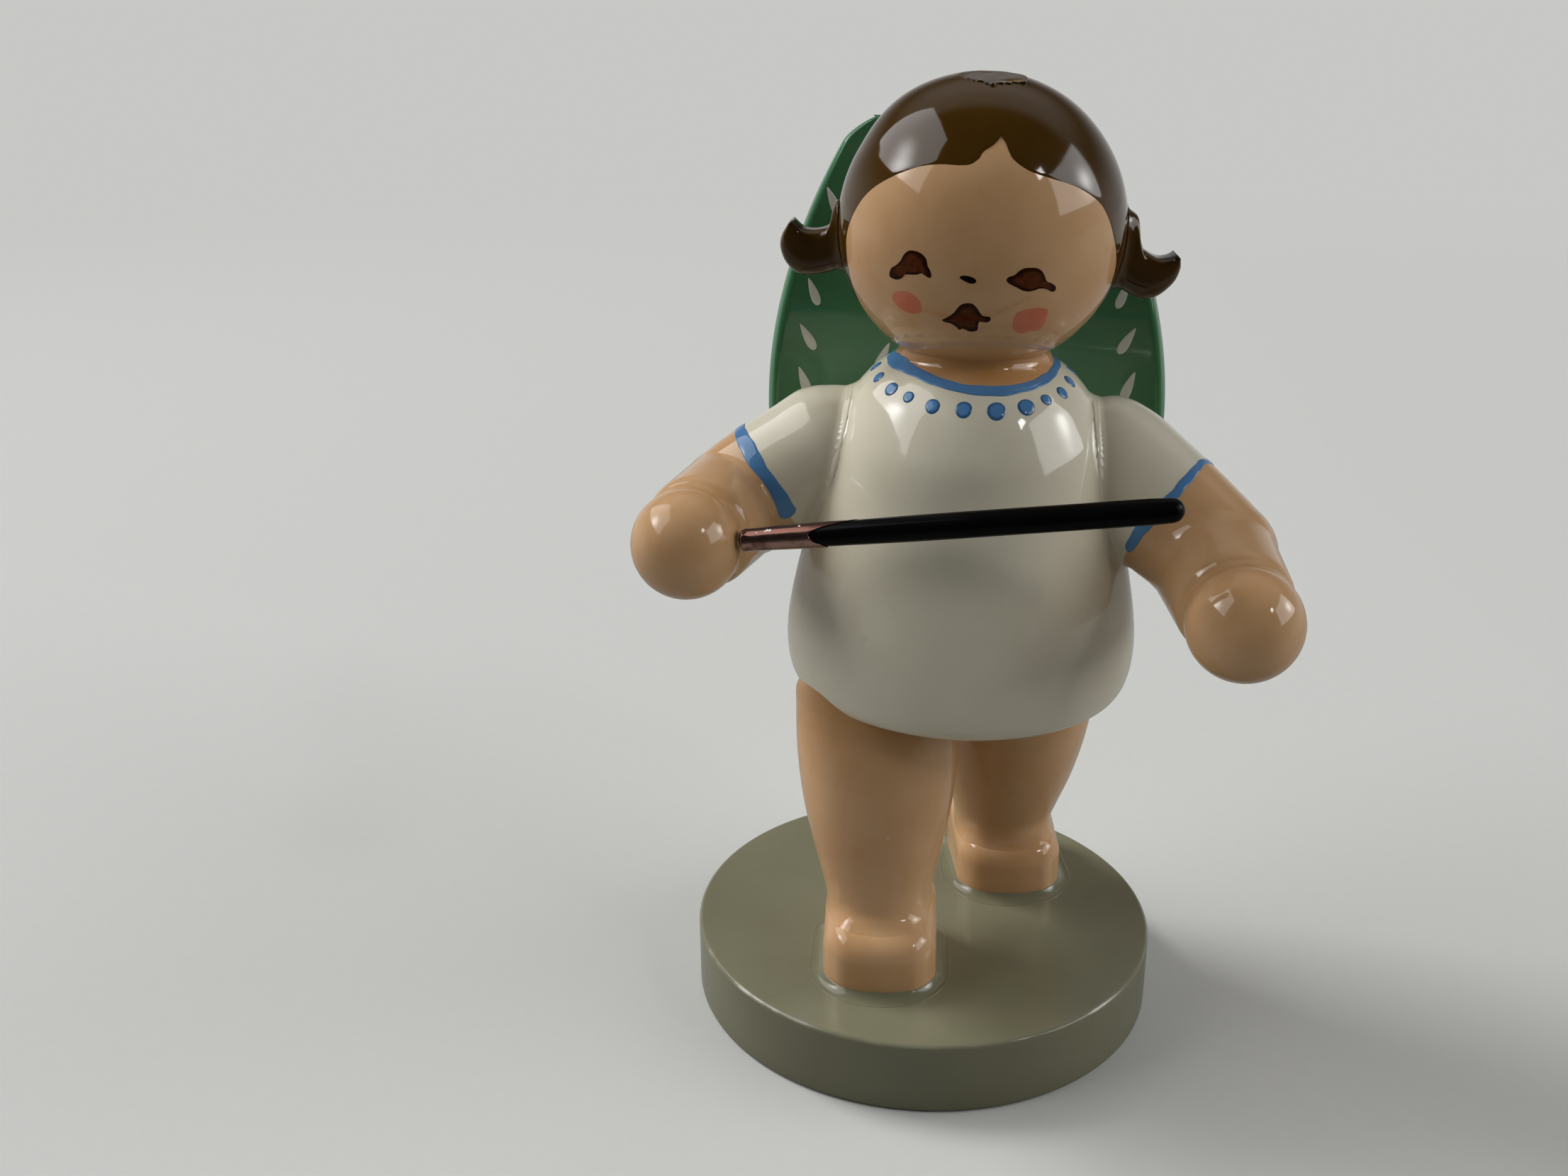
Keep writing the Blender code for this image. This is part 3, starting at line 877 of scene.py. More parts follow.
@dataclass
class Shirt:
    """The bell-shaped shirt with the neck, and the painted collar.

    The curve holds (radius, height), the knock its angle, height, size and depth, and each dot
    its angle, height and size. Angles are degrees from the front towards +X.
    """

    axis: Pair = (2.0, 1.1)
    lean: float = 1.0
    hem: float = 23.6
    top: float = 47.6
    curve: tuple[Pair, ...] = (
        (9.75, 23.6), (11.32, 24.35), (11.94, 26.4), (11.76, 29.6), (10.55, 35.4),
        (10.0, 38.0), (9.28, 41.0), (8.65, 42.6), (7.78, 44.25), (7.05, 45.2),
        (6.35, 45.9), (5.3, 46.6), (4.95, 47.1), (4.95, 47.6),
    )
    seat: float = 9.0
    seat_foot: float = 28.6
    crease: float = 0.7
    crease_fill: float = 0.42
    columns: int = 320
    knock: tuple[float, float, float, float] = (-31.7, 30.17, 0.22, 0.07)
    collar_height: float = 45.86
    collar_climb: float = 0.72
    collar_low: float = 12.0
    collar_spread: float = 46.0
    collar_width: float = 0.78
    collar_thick: float = 0.05
    dot_radius: float = 0.54
    dot_thick: float = 0.06
    dots: tuple[Triple, ...] = (
        (-86, 45.86, 0.90), (-67, 45.65, 0.86), (-49, 45.36, 0.96), (-35.4, 45.18, 0.76),
        (-20.6, 44.91, 0.93), (-5.1, 44.88, 1.02), (10.7, 44.84, 1.14), (26.3, 44.97, 1.08),
        (39.6, 45.22, 0.76), (53.7, 45.38, 0.86), (69, 45.72, 0.90), (91.5, 45.85, 0.84),
        (113, 45.88, 0.95), (133, 45.90, 0.90), (153, 45.90, 1.00), (174, 45.90, 0.92),
        (-165, 45.90, 0.96), (-142, 45.90, 0.90), (-117, 45.88, 0.98),
    )

    def __post_init__(self) -> None:
        """Works out the leaning frame and the smooth profile."""
        c, s = math.cos(math.radians(self.lean)), math.sin(math.radians(self.lean))
        axes = np.array([(c, 0.0, -s), (0.0, 1.0, 0.0), (s, 0.0, c)])
        foot = np.array((*self.axis, self.hem)) - self.hem * axes[2]
        self.place = Place(foot, axes)
        self.form = Turning(smooth_curve(self.curve, 26), self.place)
        self.run = lengths(self.form.profile)

    def run_at(self, height: Array) -> Array:
        """Distance along the profile from the hem up to a height."""
        return np.interp(height, self.form.profile[:, 1], self.run)

    def on_side(self, angle: Array, run: Array, lift: Array) -> Array:
        """Points on the shirt's side.

        Args:
            angle: Degrees from the front towards +X.
            run: Distance along the profile from the hem.
            lift: Distance outwards along the surface's normal.

        Returns:
            Points in the part's frame.
        """
        radius, height = self.form.profile.T
        outward, upward = np.gradient(radius, self.run), np.gradient(height, self.run)
        r = np.interp(run, self.run, radius) + lift * np.interp(run, self.run, upward)
        h = np.interp(run, self.run, height) - lift * np.interp(run, self.run, outward)
        turn = np.radians(angle)
        return self.place.out(joined(r * np.sin(turn), -r * np.cos(turn), h))

    def collar_line(self, angle: Array) -> Array:
        """Height of the collar's middle: lowest a little left of the front, level behind."""
        away = np.mod(angle - self.collar_low + 180.0, 360.0) - 180.0
        return self.collar_height + self.collar_climb * (1.0 - bell(away, 0.0, self.collar_spread))

    def build(self, bench: Bench, arms: Sequence["Arm"]) -> None:
        """Builds the shirt with its planed back, and lays the collar and its dots on it.

        Args:
            bench: Where pieces are filed.
            arms: The arms whose creases gather varnish and painted shade.
        """
        inside = [(0.4, self.hem + 0.1), (5.0, self.hem + 0.05), (8.6, self.hem)]
        closing = [(4.4, self.top), (0.4, self.top)]
        local = turned(np.vstack([inside, self.form.profile, closing]), self.columns)
        planed = np.where(local[..., 2] > self.seat_foot, self.seat, np.inf)
        local[..., 1] = np.minimum(local[..., 1], planed)
        points = self.place.out(local)
        angle = np.degrees(np.arctan2(local[..., 0], -local[..., 1]))
        bare = local[..., 2] - self.collar_line(angle)
        creases = [arm.upper.gap(points) for arm in arms]
        for crease in creases:
            points = drawn_in(points, crease, self.crease, self.crease_fill)
        points = points - outward_normals(points) * self._dent(angle, local)[..., None]
        # The deep tone gathers in the arm creases and over the neck above the collar: partly
        # settled varnish, partly painted shade under the arms and the head.
        pool = 0.5 * nearness(creases, 0.5) + 0.9 * np.clip(bare / 1.2, 0.0, 1.0) ** 0.5
        skin = Skin(points, marks={"bare": bare, "pool": np.clip(pool, 0.0, 1.0)})
        bench.dress("shirt_body", skin, Paint.SHIRT)
        bench.file("collar_ring", [self._collar()], Paint.BLUE)
        bench.file("collar_dots", self._dots(), Paint.BLUE)

    def _dent(self, angle: Array, local: Array) -> Array:
        """Depth of the small knock on the belly: a pit with a low lip round it."""
        where, height, size, depth = self.knock
        across = np.radians(angle - where) * np.hypot(local[..., 0], local[..., 1])
        away = np.hypot(across, local[..., 2] - height) / size
        return depth * (bell(away, 0.0, 1.0) - 0.3 * bell(away, 1.9, 1.0))

    def _collar(self) -> Skin:
        """The collar: a stroke's section carried round the neck, wavering in width."""
        angle = np.linspace(-180.0, 180.0, 600, endpoint=False)[None, :]
        across, lift = (part[:, None] for part in bead_section(22, self.collar_thick))
        turn = np.radians(angle)
        width = self.collar_width * (1.0 + 0.05 * np.sin(9 * turn) + 0.04 * np.sin(23 * turn + 1))
        start = bell(angle, -64.0, 15.0)
        width = width + 0.3 * start - 0.22 * bell(angle, 72.0, 30.0)
        wave = 0.025 * np.sin(5 * turn) + 0.015 * np.sin(17 * turn)
        run = self.run_at(self.collar_line(angle)) + wave + across * width / 2
        lift = lift * (1.0 + 0.5 * start)
        return Skin(self.on_side(*np.broadcast_arrays(angle, run, lift)), looped=True)

    def _dots(self) -> list[Skin]:
        """The dots: one domed dab for each, slightly out of round."""
        turn = circle(40)
        dabs = []
        for number, (angle, height, size) in enumerate(self.dots):
            uneven = 1.0 + 0.05 * np.sin(2 * turn + number) + 0.03 * np.sin(3 * turn)
            radius = self.dot_radius * size * uneven
            run = self.run_at(height)
            round_here = np.interp(run, self.run, self.form.profile[:, 0])

            def spot(
                uv: Array, lift: Array, a: float = angle, s: Any = run, r: Any = round_here
            ) -> Array:
                """Points of this dab on the shirt."""
                return self.on_side(a + np.degrees(uv[..., 0] / r), s + uv[..., 1], lift)

            outline = joined(radius * np.cos(turn), radius * np.sin(turn))
            dab = painted_patch(outline, (0.0, 0.0), spot, self.dot_thick, SMALL_DAB_RINGS)
            dabs.append(dab)
        return dabs


@dataclass
class Leg:
    """One leg and its foot, a rounded block with a bowed toe.

    The curve holds (share of the leg's length, radius), and the bead its width and height.
    """

    side: Side
    toe: Pair
    turn: float
    ankle: Pair
    hip: Pair
    width: float = 7.8
    length: float = 9.2
    height: float = 4.0
    soft: float = 1.8
    bow: float = 1.1
    climb: float = 0.38
    floor: float = 5.2
    gap: float = 0.2
    hem: float = 23.6
    rise: float = 0.9
    spare: float = 2.0
    curve: tuple[Pair, ...] = (
        (0.0, 3.4), (0.16, 3.66), (0.28, 4.15), (0.41, 4.73), (0.54, 5.17), (0.67, 5.46),
        (0.8, 5.6), (1.0, 5.6),
    )
    bead: Pair = (1.05, 0.45)
    instep: float = 2.0
    instep_depth: float = 1.0
    tuck: float = 0.16
    columns: int = 200

    def _plan(self) -> tuple[Array, Array]:
        """The block's plan: corner centres and normals of a rounded rectangle, in order."""
        half = np.array((self.width / 2, self.length / 2)) - self.soft
        bend, run = np.linspace(0.0, 1.0, 17), np.linspace(0.0, 1.0, 22)[1:-1, None]
        cores, normals = [], []
        for quarter in range(4):
            angle = np.pi / 2 * (quarter + bend)
            way = joined(np.cos(angle), np.sin(angle))
            x, y = way[len(bend) // 2]
            corner, after = half * np.sign((x, y)), half * np.sign((-y, x))
            cores += [np.repeat(corner[None], len(bend), axis=0), corner + (after - corner) * run]
            normals += [way, np.repeat(way[-1:], len(run), axis=0)]
        return np.vstack(cores), np.vstack(normals)

    def _stand(self, plan: Array, height: Array) -> Array:
        """Points of the block's plan on the base: its toe bowed, turned and set in place."""
        x, y = plan[..., 0], plan[..., 1]
        towards = (self.length / 2 - y) / self.length
        y = y + self.bow * towards * (x / (self.width / 2)) ** 2 + self.length / 2
        a = math.radians(self.turn)
        across = self.toe[0] + x * math.cos(a) - y * math.sin(a)
        ahead = self.toe[1] + x * math.sin(a) + y * math.cos(a)
        return joined(across, ahead, height)

    def _climb(self, y: Array) -> Array:
        """How many times as high as at its toe the block is, by the distance from its middle."""
        return 1.0 + self.climb * eased(y + self.length / 2, 1.2, 6.5)

    def axis(self) -> tuple[Array, Array]:
        """Lower and upper end of the leg's axis, with its spare length."""
        ankle = np.array((*self.ankle, self.floor + self.height + 2 * self.gap))
        hip = np.array((*self.hip, self.hem - self.gap))
        way = unit(hip - ankle)
        return ankle - self.spare * way, hip + self.rise * way

    def build(self, bench: Bench, shirt: Shirt) -> None:
        """Builds the foot, the bead of lacquer round it and the leg.

        Args:
            bench: Where pieces are filed.
            shirt: The shirt that the leg runs up into.
        """
        name = self.side.value
        bench.dress(name + "_foot", self._foot(), Paint.SKIN)
        bench.file(name + "_foot_bead", [self._bead()], Paint.OLIVE)
        bench.dress(name + "_leg", self._leg(shirt), Paint.SKIN)

    def _foot(self) -> Skin:
        """The foot: the plan drawn in by s (1 - cos t) as it rises by s sin t over its edge."""
        core, normal = self._plan()
        top = self.gap + self.height
        wall = np.linspace(-0.05, top - self.soft, 22)[:-1]
        t = np.linspace(0.0, np.pi / 2 - 0.02, 22)
        inward = np.linspace(0.9, 0.1, 7)
        level = np.ones_like(inward)
        out = np.concatenate([np.full_like(wall, self.soft), self.soft * np.cos(t), 0.02 * level])
        rise = np.concatenate([wall, top - self.soft * (1 - np.sin(t)), top * level])
        shrink = np.concatenate([np.ones_like(wall), np.ones_like(t), inward])
        plan = core * shrink[:, None, None] + normal * out[:, None, None]
        points = self._stand(plan, self.floor + rise[:, None] * self._climb(plan[..., 1]))
        # Darker towards the foot's bottom: painted shade where it stands on the base.
        pool = 0.5 * np.exp(-(points[..., 2] - self.floor) / 0.5)
        return Skin(points, marks={"pool": pool})

    def _limb(self) -> Turning:
        """The leg's turned form, from inside the foot to inside the shirt."""
        low, high = self.axis()
        length = np.linalg.norm(high - low)
        shares, radii = np.array(self.curve).T
        curve = smooth_curve(joined(radii, shares * length), 40)
        rows = np.linspace(-0.1, length + 1.6, 170)
        place = Place.along(low, high)
        height = low[2] + rows * place.axes[2, 2]
        hidden = 1.0 - self.tuck * eased(height, self.hem + 0.5, self.hem + 2.6)
        return Turning(joined(np.interp(rows, curve[:, 1], curve[:, 0]) * hidden, rows), place)

    def _foot_gap(self, points: Array) -> Array:
        """Distance of points from the foot's rounded block."""
        a = math.radians(self.turn)
        x, y = points[..., 0] - self.toe[0], points[..., 1] - self.toe[1]
        x, y = x * math.cos(a) + y * math.sin(a), y * math.cos(a) - x * math.sin(a)
        half = np.array((self.width / 2, self.length / 2, self.height))
        bowed = self.bow * (x / half[0]) ** 2
        y = (y - self.length / 2 - bowed / 2) / (1.0 - bowed / self.length)
        rise = (points[..., 2] - self.floor) / self._climb(y) - self.gap
        beyond = np.abs(joined(x, y, rise)) - half + self.soft
        outside = np.linalg.norm(np.maximum(beyond, 0.0), axis=-1)
        return outside + np.minimum(beyond.max(axis=-1), 0.0) - self.soft

    def _bead(self) -> Skin:
        """Lacquer drawn up round the foot: height falls as (1 - e / width) to the power 2.4."""
        core, normal = self._plan()
        width, height = self.bead
        out = np.linspace(0.0, width, 18)
        rise = height * (1.0 - out / width) ** 2.4 - 0.01
        out = np.concatenate([[-0.3], out, [width, -0.3]])
        rise = np.concatenate([[height - 0.05], rise, [-0.2, -0.2]])
        plan = core + normal * (self.soft + out)[:, None, None]
        points = self._stand(plan, self.floor + rise[:, None])
        return Skin(points, looped=True, marks={"pool": np.full(points.shape[:2], 0.4)})

    def _leg(self, shirt: Shirt) -> Skin:
        """The leg: circles along its axis, rounded at the bottom into the foot."""
        points = self._limb().surface(self.columns)
        points = filleted(points, self._foot_gap, self.instep, self.instep_depth)
        # Darker at the top, under the shirt's hem: painted shade, with settled varnish.
        pool = nearness([shirt.form.gap(points)], 1.2)
        return Skin(points, marks={"pool": 0.8 * pool})


@dataclass(frozen=True)
class Dab:
    """One dab of the face, in millimetres along the skin from the middle of the ball's front.

    Args:
        name: The piece's name.
        finish: Its paint.
        thick: How thick the paint is.
        place: Its middle, across and up.
        outline: Points of its outline about that middle.
        seen_from: The point about that middle from which all of the outline is seen.
    """

    name: str
    finish: Lacquer
    thick: float
    place: Pair
    outline: tuple[Pair, ...]
    seen_from: Pair = (0.0, 0.0)


RIGHT_EYE = (
    (-1.53, -0.74), (-1.32, -0.30), (-0.88, -0.02), (-0.56, 0.28), (-0.33, 0.64), (0.00, 0.92),
    (0.40, 0.97), (0.86, 0.85), (1.20, 0.55), (1.30, 0.15), (1.47, -0.17), (1.53, -0.49),
    (1.38, -0.62), (1.12, -0.50), (0.88, -0.38), (0.55, -0.49), (0.10, -0.53), (-0.32, -0.58),
    (-0.54, -0.82), (-0.94, -0.97), (-1.36, -0.92),
)
LEFT_EYE = (
    (-1.70, 0.08), (-1.58, 0.24), (-1.23, 0.37), (-0.97, 0.62), (-0.68, 0.77), (-0.27, 0.80),
    (0.14, 0.76), (0.48, 0.58), (0.73, 0.26), (0.93, -0.07), (1.32, -0.24), (1.66, -0.47),
    (1.70, -0.74), (1.46, -0.80), (1.02, -0.60), (0.57, -0.54), (0.27, -0.63), (-0.13, -0.71),
    (-0.56, -0.64), (-0.99, -0.43), (-1.31, -0.28), (-1.58, -0.12),
)
MOUTH = (
    (-1.71, -0.29), (-1.32, -0.03), (-0.86, 0.32), (-0.59, 0.68), (-0.32, 0.97), (0.09, 1.10),
    (0.43, 1.05), (0.71, 0.79), (0.93, 0.46), (1.17, 0.20), (1.62, 0.13), (1.71, -0.10),
    (1.49, -0.30), (1.00, -0.24), (0.86, -0.52), (0.86, -0.92), (0.58, -1.10), (0.18, -1.09),
    (-0.22, -0.90), (-0.52, -1.00), (-0.74, -0.76), (-1.14, -0.52), (-1.50, -0.45),
)
NOSE = (
    (-0.51, 0.14), (-0.32, 0.24), (-0.03, 0.24), (0.29, 0.16), (0.51, -0.01), (0.46, -0.19),
    (0.17, -0.24), (-0.12, -0.14), (-0.41, 0.01),
)
RIGHT_CHEEK = (
    (-1.09, 0.34), (-0.79, 0.64), (-0.25, 0.78), (0.35, 0.79), (0.89, 0.53), (1.13, 0.19),
    (1.14, -0.31), (0.98, -0.64), (0.36, -0.79), (-0.40, -0.70), (-0.84, -0.41), (-1.14, -0.07),
)
LEFT_CHEEK = (
    (-1.33, 0.11), (-1.28, 0.62), (-0.81, 0.92), (-0.07, 1.05), (0.64, 1.01), (1.10, 0.82),
    (1.27, 0.09), (1.30, -0.56), (0.93, -0.86), (0.27, -0.89), (-0.31, -1.05), (-0.90, -0.83),
    (-1.25, -0.41),
)


@dataclass
class Head:
    """The ball head: skin, the hair painted round it, and the face.

    The hairline holds degrees from the front towards +X and degrees above the ball's middle.
    """

    shirt: Shirt
    radius: float = 9.12
    height: float = 55.08
    hair: float = 0.02
    crown: float = 0.2
    nub_radius: float = 1.95
    nub_step: float = 0.06
    nub_bevel: float = 0.04
    nub_lean: Pair = (2.2, 8.5)
    nub_tilt: Pair = (-0.02, 0.03)
    hairline: tuple[Pair, ...] = (
        (-180.0, -61.0), (-120.0, -61.0), (-90.0, -60.0), (-79.0, -50.0), (-72.5, -32.0),
        (-68.6, -16.0), (-67.2, -9.0), (-66.0, -3.0), (-64.3, 0.8), (-60.7, 6.5),
        (-55.5, 13.1), (-50.0, 17.8), (-43.9, 21.4), (-36.8, 24.8), (-28.5, 27.7),
        (-20.1, 28.9), (-11.9, 28.9), (-7.3, 29.4), (-4.2, 31.6), (-2.3, 34.8),
        (1.7, 37.4), (4.6, 40.0), (5.7, 41.6), (6.7, 40.2), (8.0, 38.0),
        (9.3, 34.3), (11.3, 31.0), (15.7, 27.9), (20.3, 26.0), (27.7, 23.8),
        (36.4, 21.1), (43.3, 18.0), (50.1, 13.6), (55.0, 7.6), (59.4, 0.2),
        (63.8, -6.0), (67.5, -12.0), (71.0, -22.0), (75.0, -38.0), (82.0, -54.0),
        (92.0, -60.0), (120.0, -61.0), (180.0, -61.0),
    )
    face: tuple[Dab, ...] = (
        Dab("right_eye", Paint.EYE, 0.045, (-4.63, -1.42), RIGHT_EYE, (0.3, 0.1)),
        Dab("left_eye", Paint.EYE, 0.045, (3.12, -2.00), LEFT_EYE),
        Dab("mouth", Paint.EYE, 0.045, (-0.94, -4.59), MOUTH, (0.1, 0.0)),
        Dab("nose", Paint.NOSE, 0.04, (-0.87, -1.98), NOSE),
        Dab("right_cheek", Paint.CHEEK, 0.015, (-5.12, -3.87), RIGHT_CHEEK),
        Dab("left_cheek", Paint.CHEEK, 0.015, (3.64, -4.87), LEFT_CHEEK),
    )

    def about(self, local: Array) -> Array:
        """Points about the ball's middle, in the part's frame."""
        return self.shirt.place.out(local + np.array((0.0, 0.0, self.height)))

    @property
    def middle(self) -> Array:
        """The middle of the ball in the part's frame."""
        return self.about(np.zeros(3))

    def on_ball(self, across: Array, up: Array, lift: Array) -> Array:
        """Points on the ball, which is fuller at the crown, most of all to its right.

        Args:
            across: Degrees from the front towards +X.
            up: Degrees above the ball's middle.
            lift: Height above the skin.

        Returns:
            Points in the part's frame.
        """
        a, e = np.radians(across), np.radians(up)
        way = joined(np.sin(a) * np.cos(e), -np.cos(a) * np.cos(e), np.sin(e))
        full = self.crown * eased(way[..., 2], 0.5, 0.9) * (1.0 - way[..., 0])
        points = self.about(way * (self.radius + full + lift)[..., None])
        facet = self.facet()
        over = np.maximum(facet.into(points)[..., 2:] + 0.05, 0.0)
        return points - over * facet.axes[2]

    def facet(self) -> Place:
        """The frame of the flat on top of the head: its middle, and the way it faces."""
        aside, ahead = (math.radians(angle) for angle in self.nub_lean)
        way = unit(np.array((math.tan(aside), -math.tan(ahead), 1.0))) @ self.shirt.place.axes
        level = math.sqrt(self.radius**2 - self.nub_radius**2) + self.crown + self.nub_step
        across = unit(np.cross(np.array((0.0, -1.0, 0.0)), way))
        return Place(self.middle + level * way, np.stack([across, np.cross(way, across), way]))

    def on_face(self, spots: Array, lift: Array) -> Array:
        """Points on the face from millimetres along the skin, across and up."""
        turn = np.degrees(spots / self.radius)
        return self.on_ball(turn[..., 0], turn[..., 1], lift)

    def build(self, bench: Bench) -> None:
        """Builds the ball, the hair and each dab of the face.

        Args:
            bench: Where pieces are filed.
        """
        bench.file("head_ball", [self._ball()], Paint.SKIN, ["head"])
        bench.file("hair_cap", [self._hair(), self._nub()], Paint.HAIR)
        for dab in self.face:
            outline = smooth_curve(dab.outline, 8, closed=True) + np.array(dab.place)
            centre = np.add(dab.place, dab.seen_from)
            patch = painted_patch(outline, centre, self.on_face, dab.thick)
            bench.file(dab.name, [patch], dab.finish)

    def _ball(self) -> Skin:
        """The skin: a sphere, darker low on the ball above the neck: gathered varnish and painted
        shade under the chin.
        """
        local = ball(self.radius, 180, 280)
        low = (local[..., 2] / self.radius + 0.84) / 0.16
        pool = 0.6 * np.exp(-np.clip(low, 0.0, 9.0) * 2.0)
        return Skin(self.about(local), marks={"pool": pool})

    def _hair(self) -> Skin:
        """The hair: meridians from the hairline to the crown, thick but for a rounded edge.

        A point at share t lies at edge + t (90 - edge) degrees, and the paint is hair
        (1 - exp(-(d / 0.1)^2)) thick at d millimetres inside the hairline.
        """
        line = even_steps(smooth_curve(self.hairline, 10), 901)[:-1]
        across, edge = line[None, :, 0], line[None, :, 1]
        t = np.concatenate([np.linspace(0.0, 0.012, 10), np.linspace(0.02, 0.995, 74)])[:, None]
        up = edge + t * (90.0 - edge)
        steep = np.gradient(line[:, 1]) / np.maximum(np.abs(np.gradient(line[:, 0])), 1e-3)
        steep = steep / np.cos(np.radians(line[:, 1]))
        inside = np.radians(up - edge) * self.radius / np.sqrt(1.0 + steep**2)
        lift = self.hair * (1.0 - bell(inside, 0.0, 0.1)) - 0.004
        under = np.linspace(0.0, 0.99, 6)[:, None]
        up = np.vstack([up[::-1], edge + under * (90.0 - edge)])
        lift = np.vstack([lift[::-1], np.full((len(under), edge.shape[1]), -0.08)])
        return Skin(self.on_ball(*np.broadcast_arrays(across, up, lift)))

    def _nub(self) -> Skin:
        """The lathe's nub: a low facet tipped to the front, broken off along its front edge."""
        face = joined(np.linspace(0.03, self.nub_radius - self.nub_bevel, 40), 0.0)
        side = joined(self.nub_radius, np.linspace(-self.nub_bevel, -0.7, 12))
        local = turned(np.vstack([face, side, [(0.03, -0.7)]]), 200)
        angle = np.arctan2(local[..., 0], local[..., 1])
        torn = 0.10 * np.sin(5 * angle + 1) + 0.06 * np.sin(11 * angle) + 0.04 * np.sin(23 * angle)
        torn = torn * np.clip(2.0 - 1.4 * np.abs(angle), 0.0, 1.0)
        share = np.hypot(local[..., 0], local[..., 1]) / self.nub_radius
        local[..., :2] *= 1.0 + (torn * share**4)[..., None]
        chip = bell(angle, -0.7, 0.45) * bell(share, 0.82, 0.2)
        upper = local[..., 2] > -0.5 * self.nub_bevel
        local[..., 2] -= upper * (0.06 * chip + 0.012 * np.sin(4.0 * local[..., 0]) * share)
        local[..., 2] += local[..., :2] @ np.array(self.nub_tilt)
        # The step's side takes the deep tone as painted shade; the pale mark on the facet is a chip
        # in the lacquer.
        marks = {"rub": np.clip(1.6 * chip, 0.0, 1.0) * upper, "pool": 1.0 * ~upper}
        return Skin(self.facet().out(local), marks=marks)


@dataclass
class Curl:
    """One hooked curl of hair, a slice of a turned ring, between its inner and outer edge."""

    side: Side
    place: Pair
    inner: tuple[Pair, ...]
    outer: tuple[Pair, ...]
    depth: float = 2.8
    square: float = 3.0

    def build(self, bench: Bench, head: Head) -> None:
        """Carries a squared oval along the hook, from its inner to its outer edge.

        Args:
            bench: Where pieces are filed.
            head: The head that the curl is set on.
        """
        edges = (self.inner, self.outer)
        inner, outer = (even_steps(smooth_curve(e, 20), 120) + self.place for e in edges)
        angle = circle(96)[None, :]
        rounded = 2.0 / self.square
        across = np.sign(np.cos(angle)) * np.abs(np.cos(angle)) ** rounded
        through = np.sign(np.sin(angle)) * np.abs(np.sin(angle)) ** rounded
        middle, half = (inner + outer)[:, None] / 2, (outer - inner)[:, None] / 2
        flat = middle + across[..., None] * half
        deep = through * self.depth / 2
        points = head.about(joined(self.side.outward * flat[..., 0], deep, flat[..., 1]))
        away = np.linalg.norm(points - head.middle, axis=-1) - head.radius
        points = drawn_in(points, np.where(away > -0.3, away, FAR_AWAY), 0.7, 0.3)
        bench.dress(self.side.value + "_hair_curl", Skin(points), Paint.HAIR)


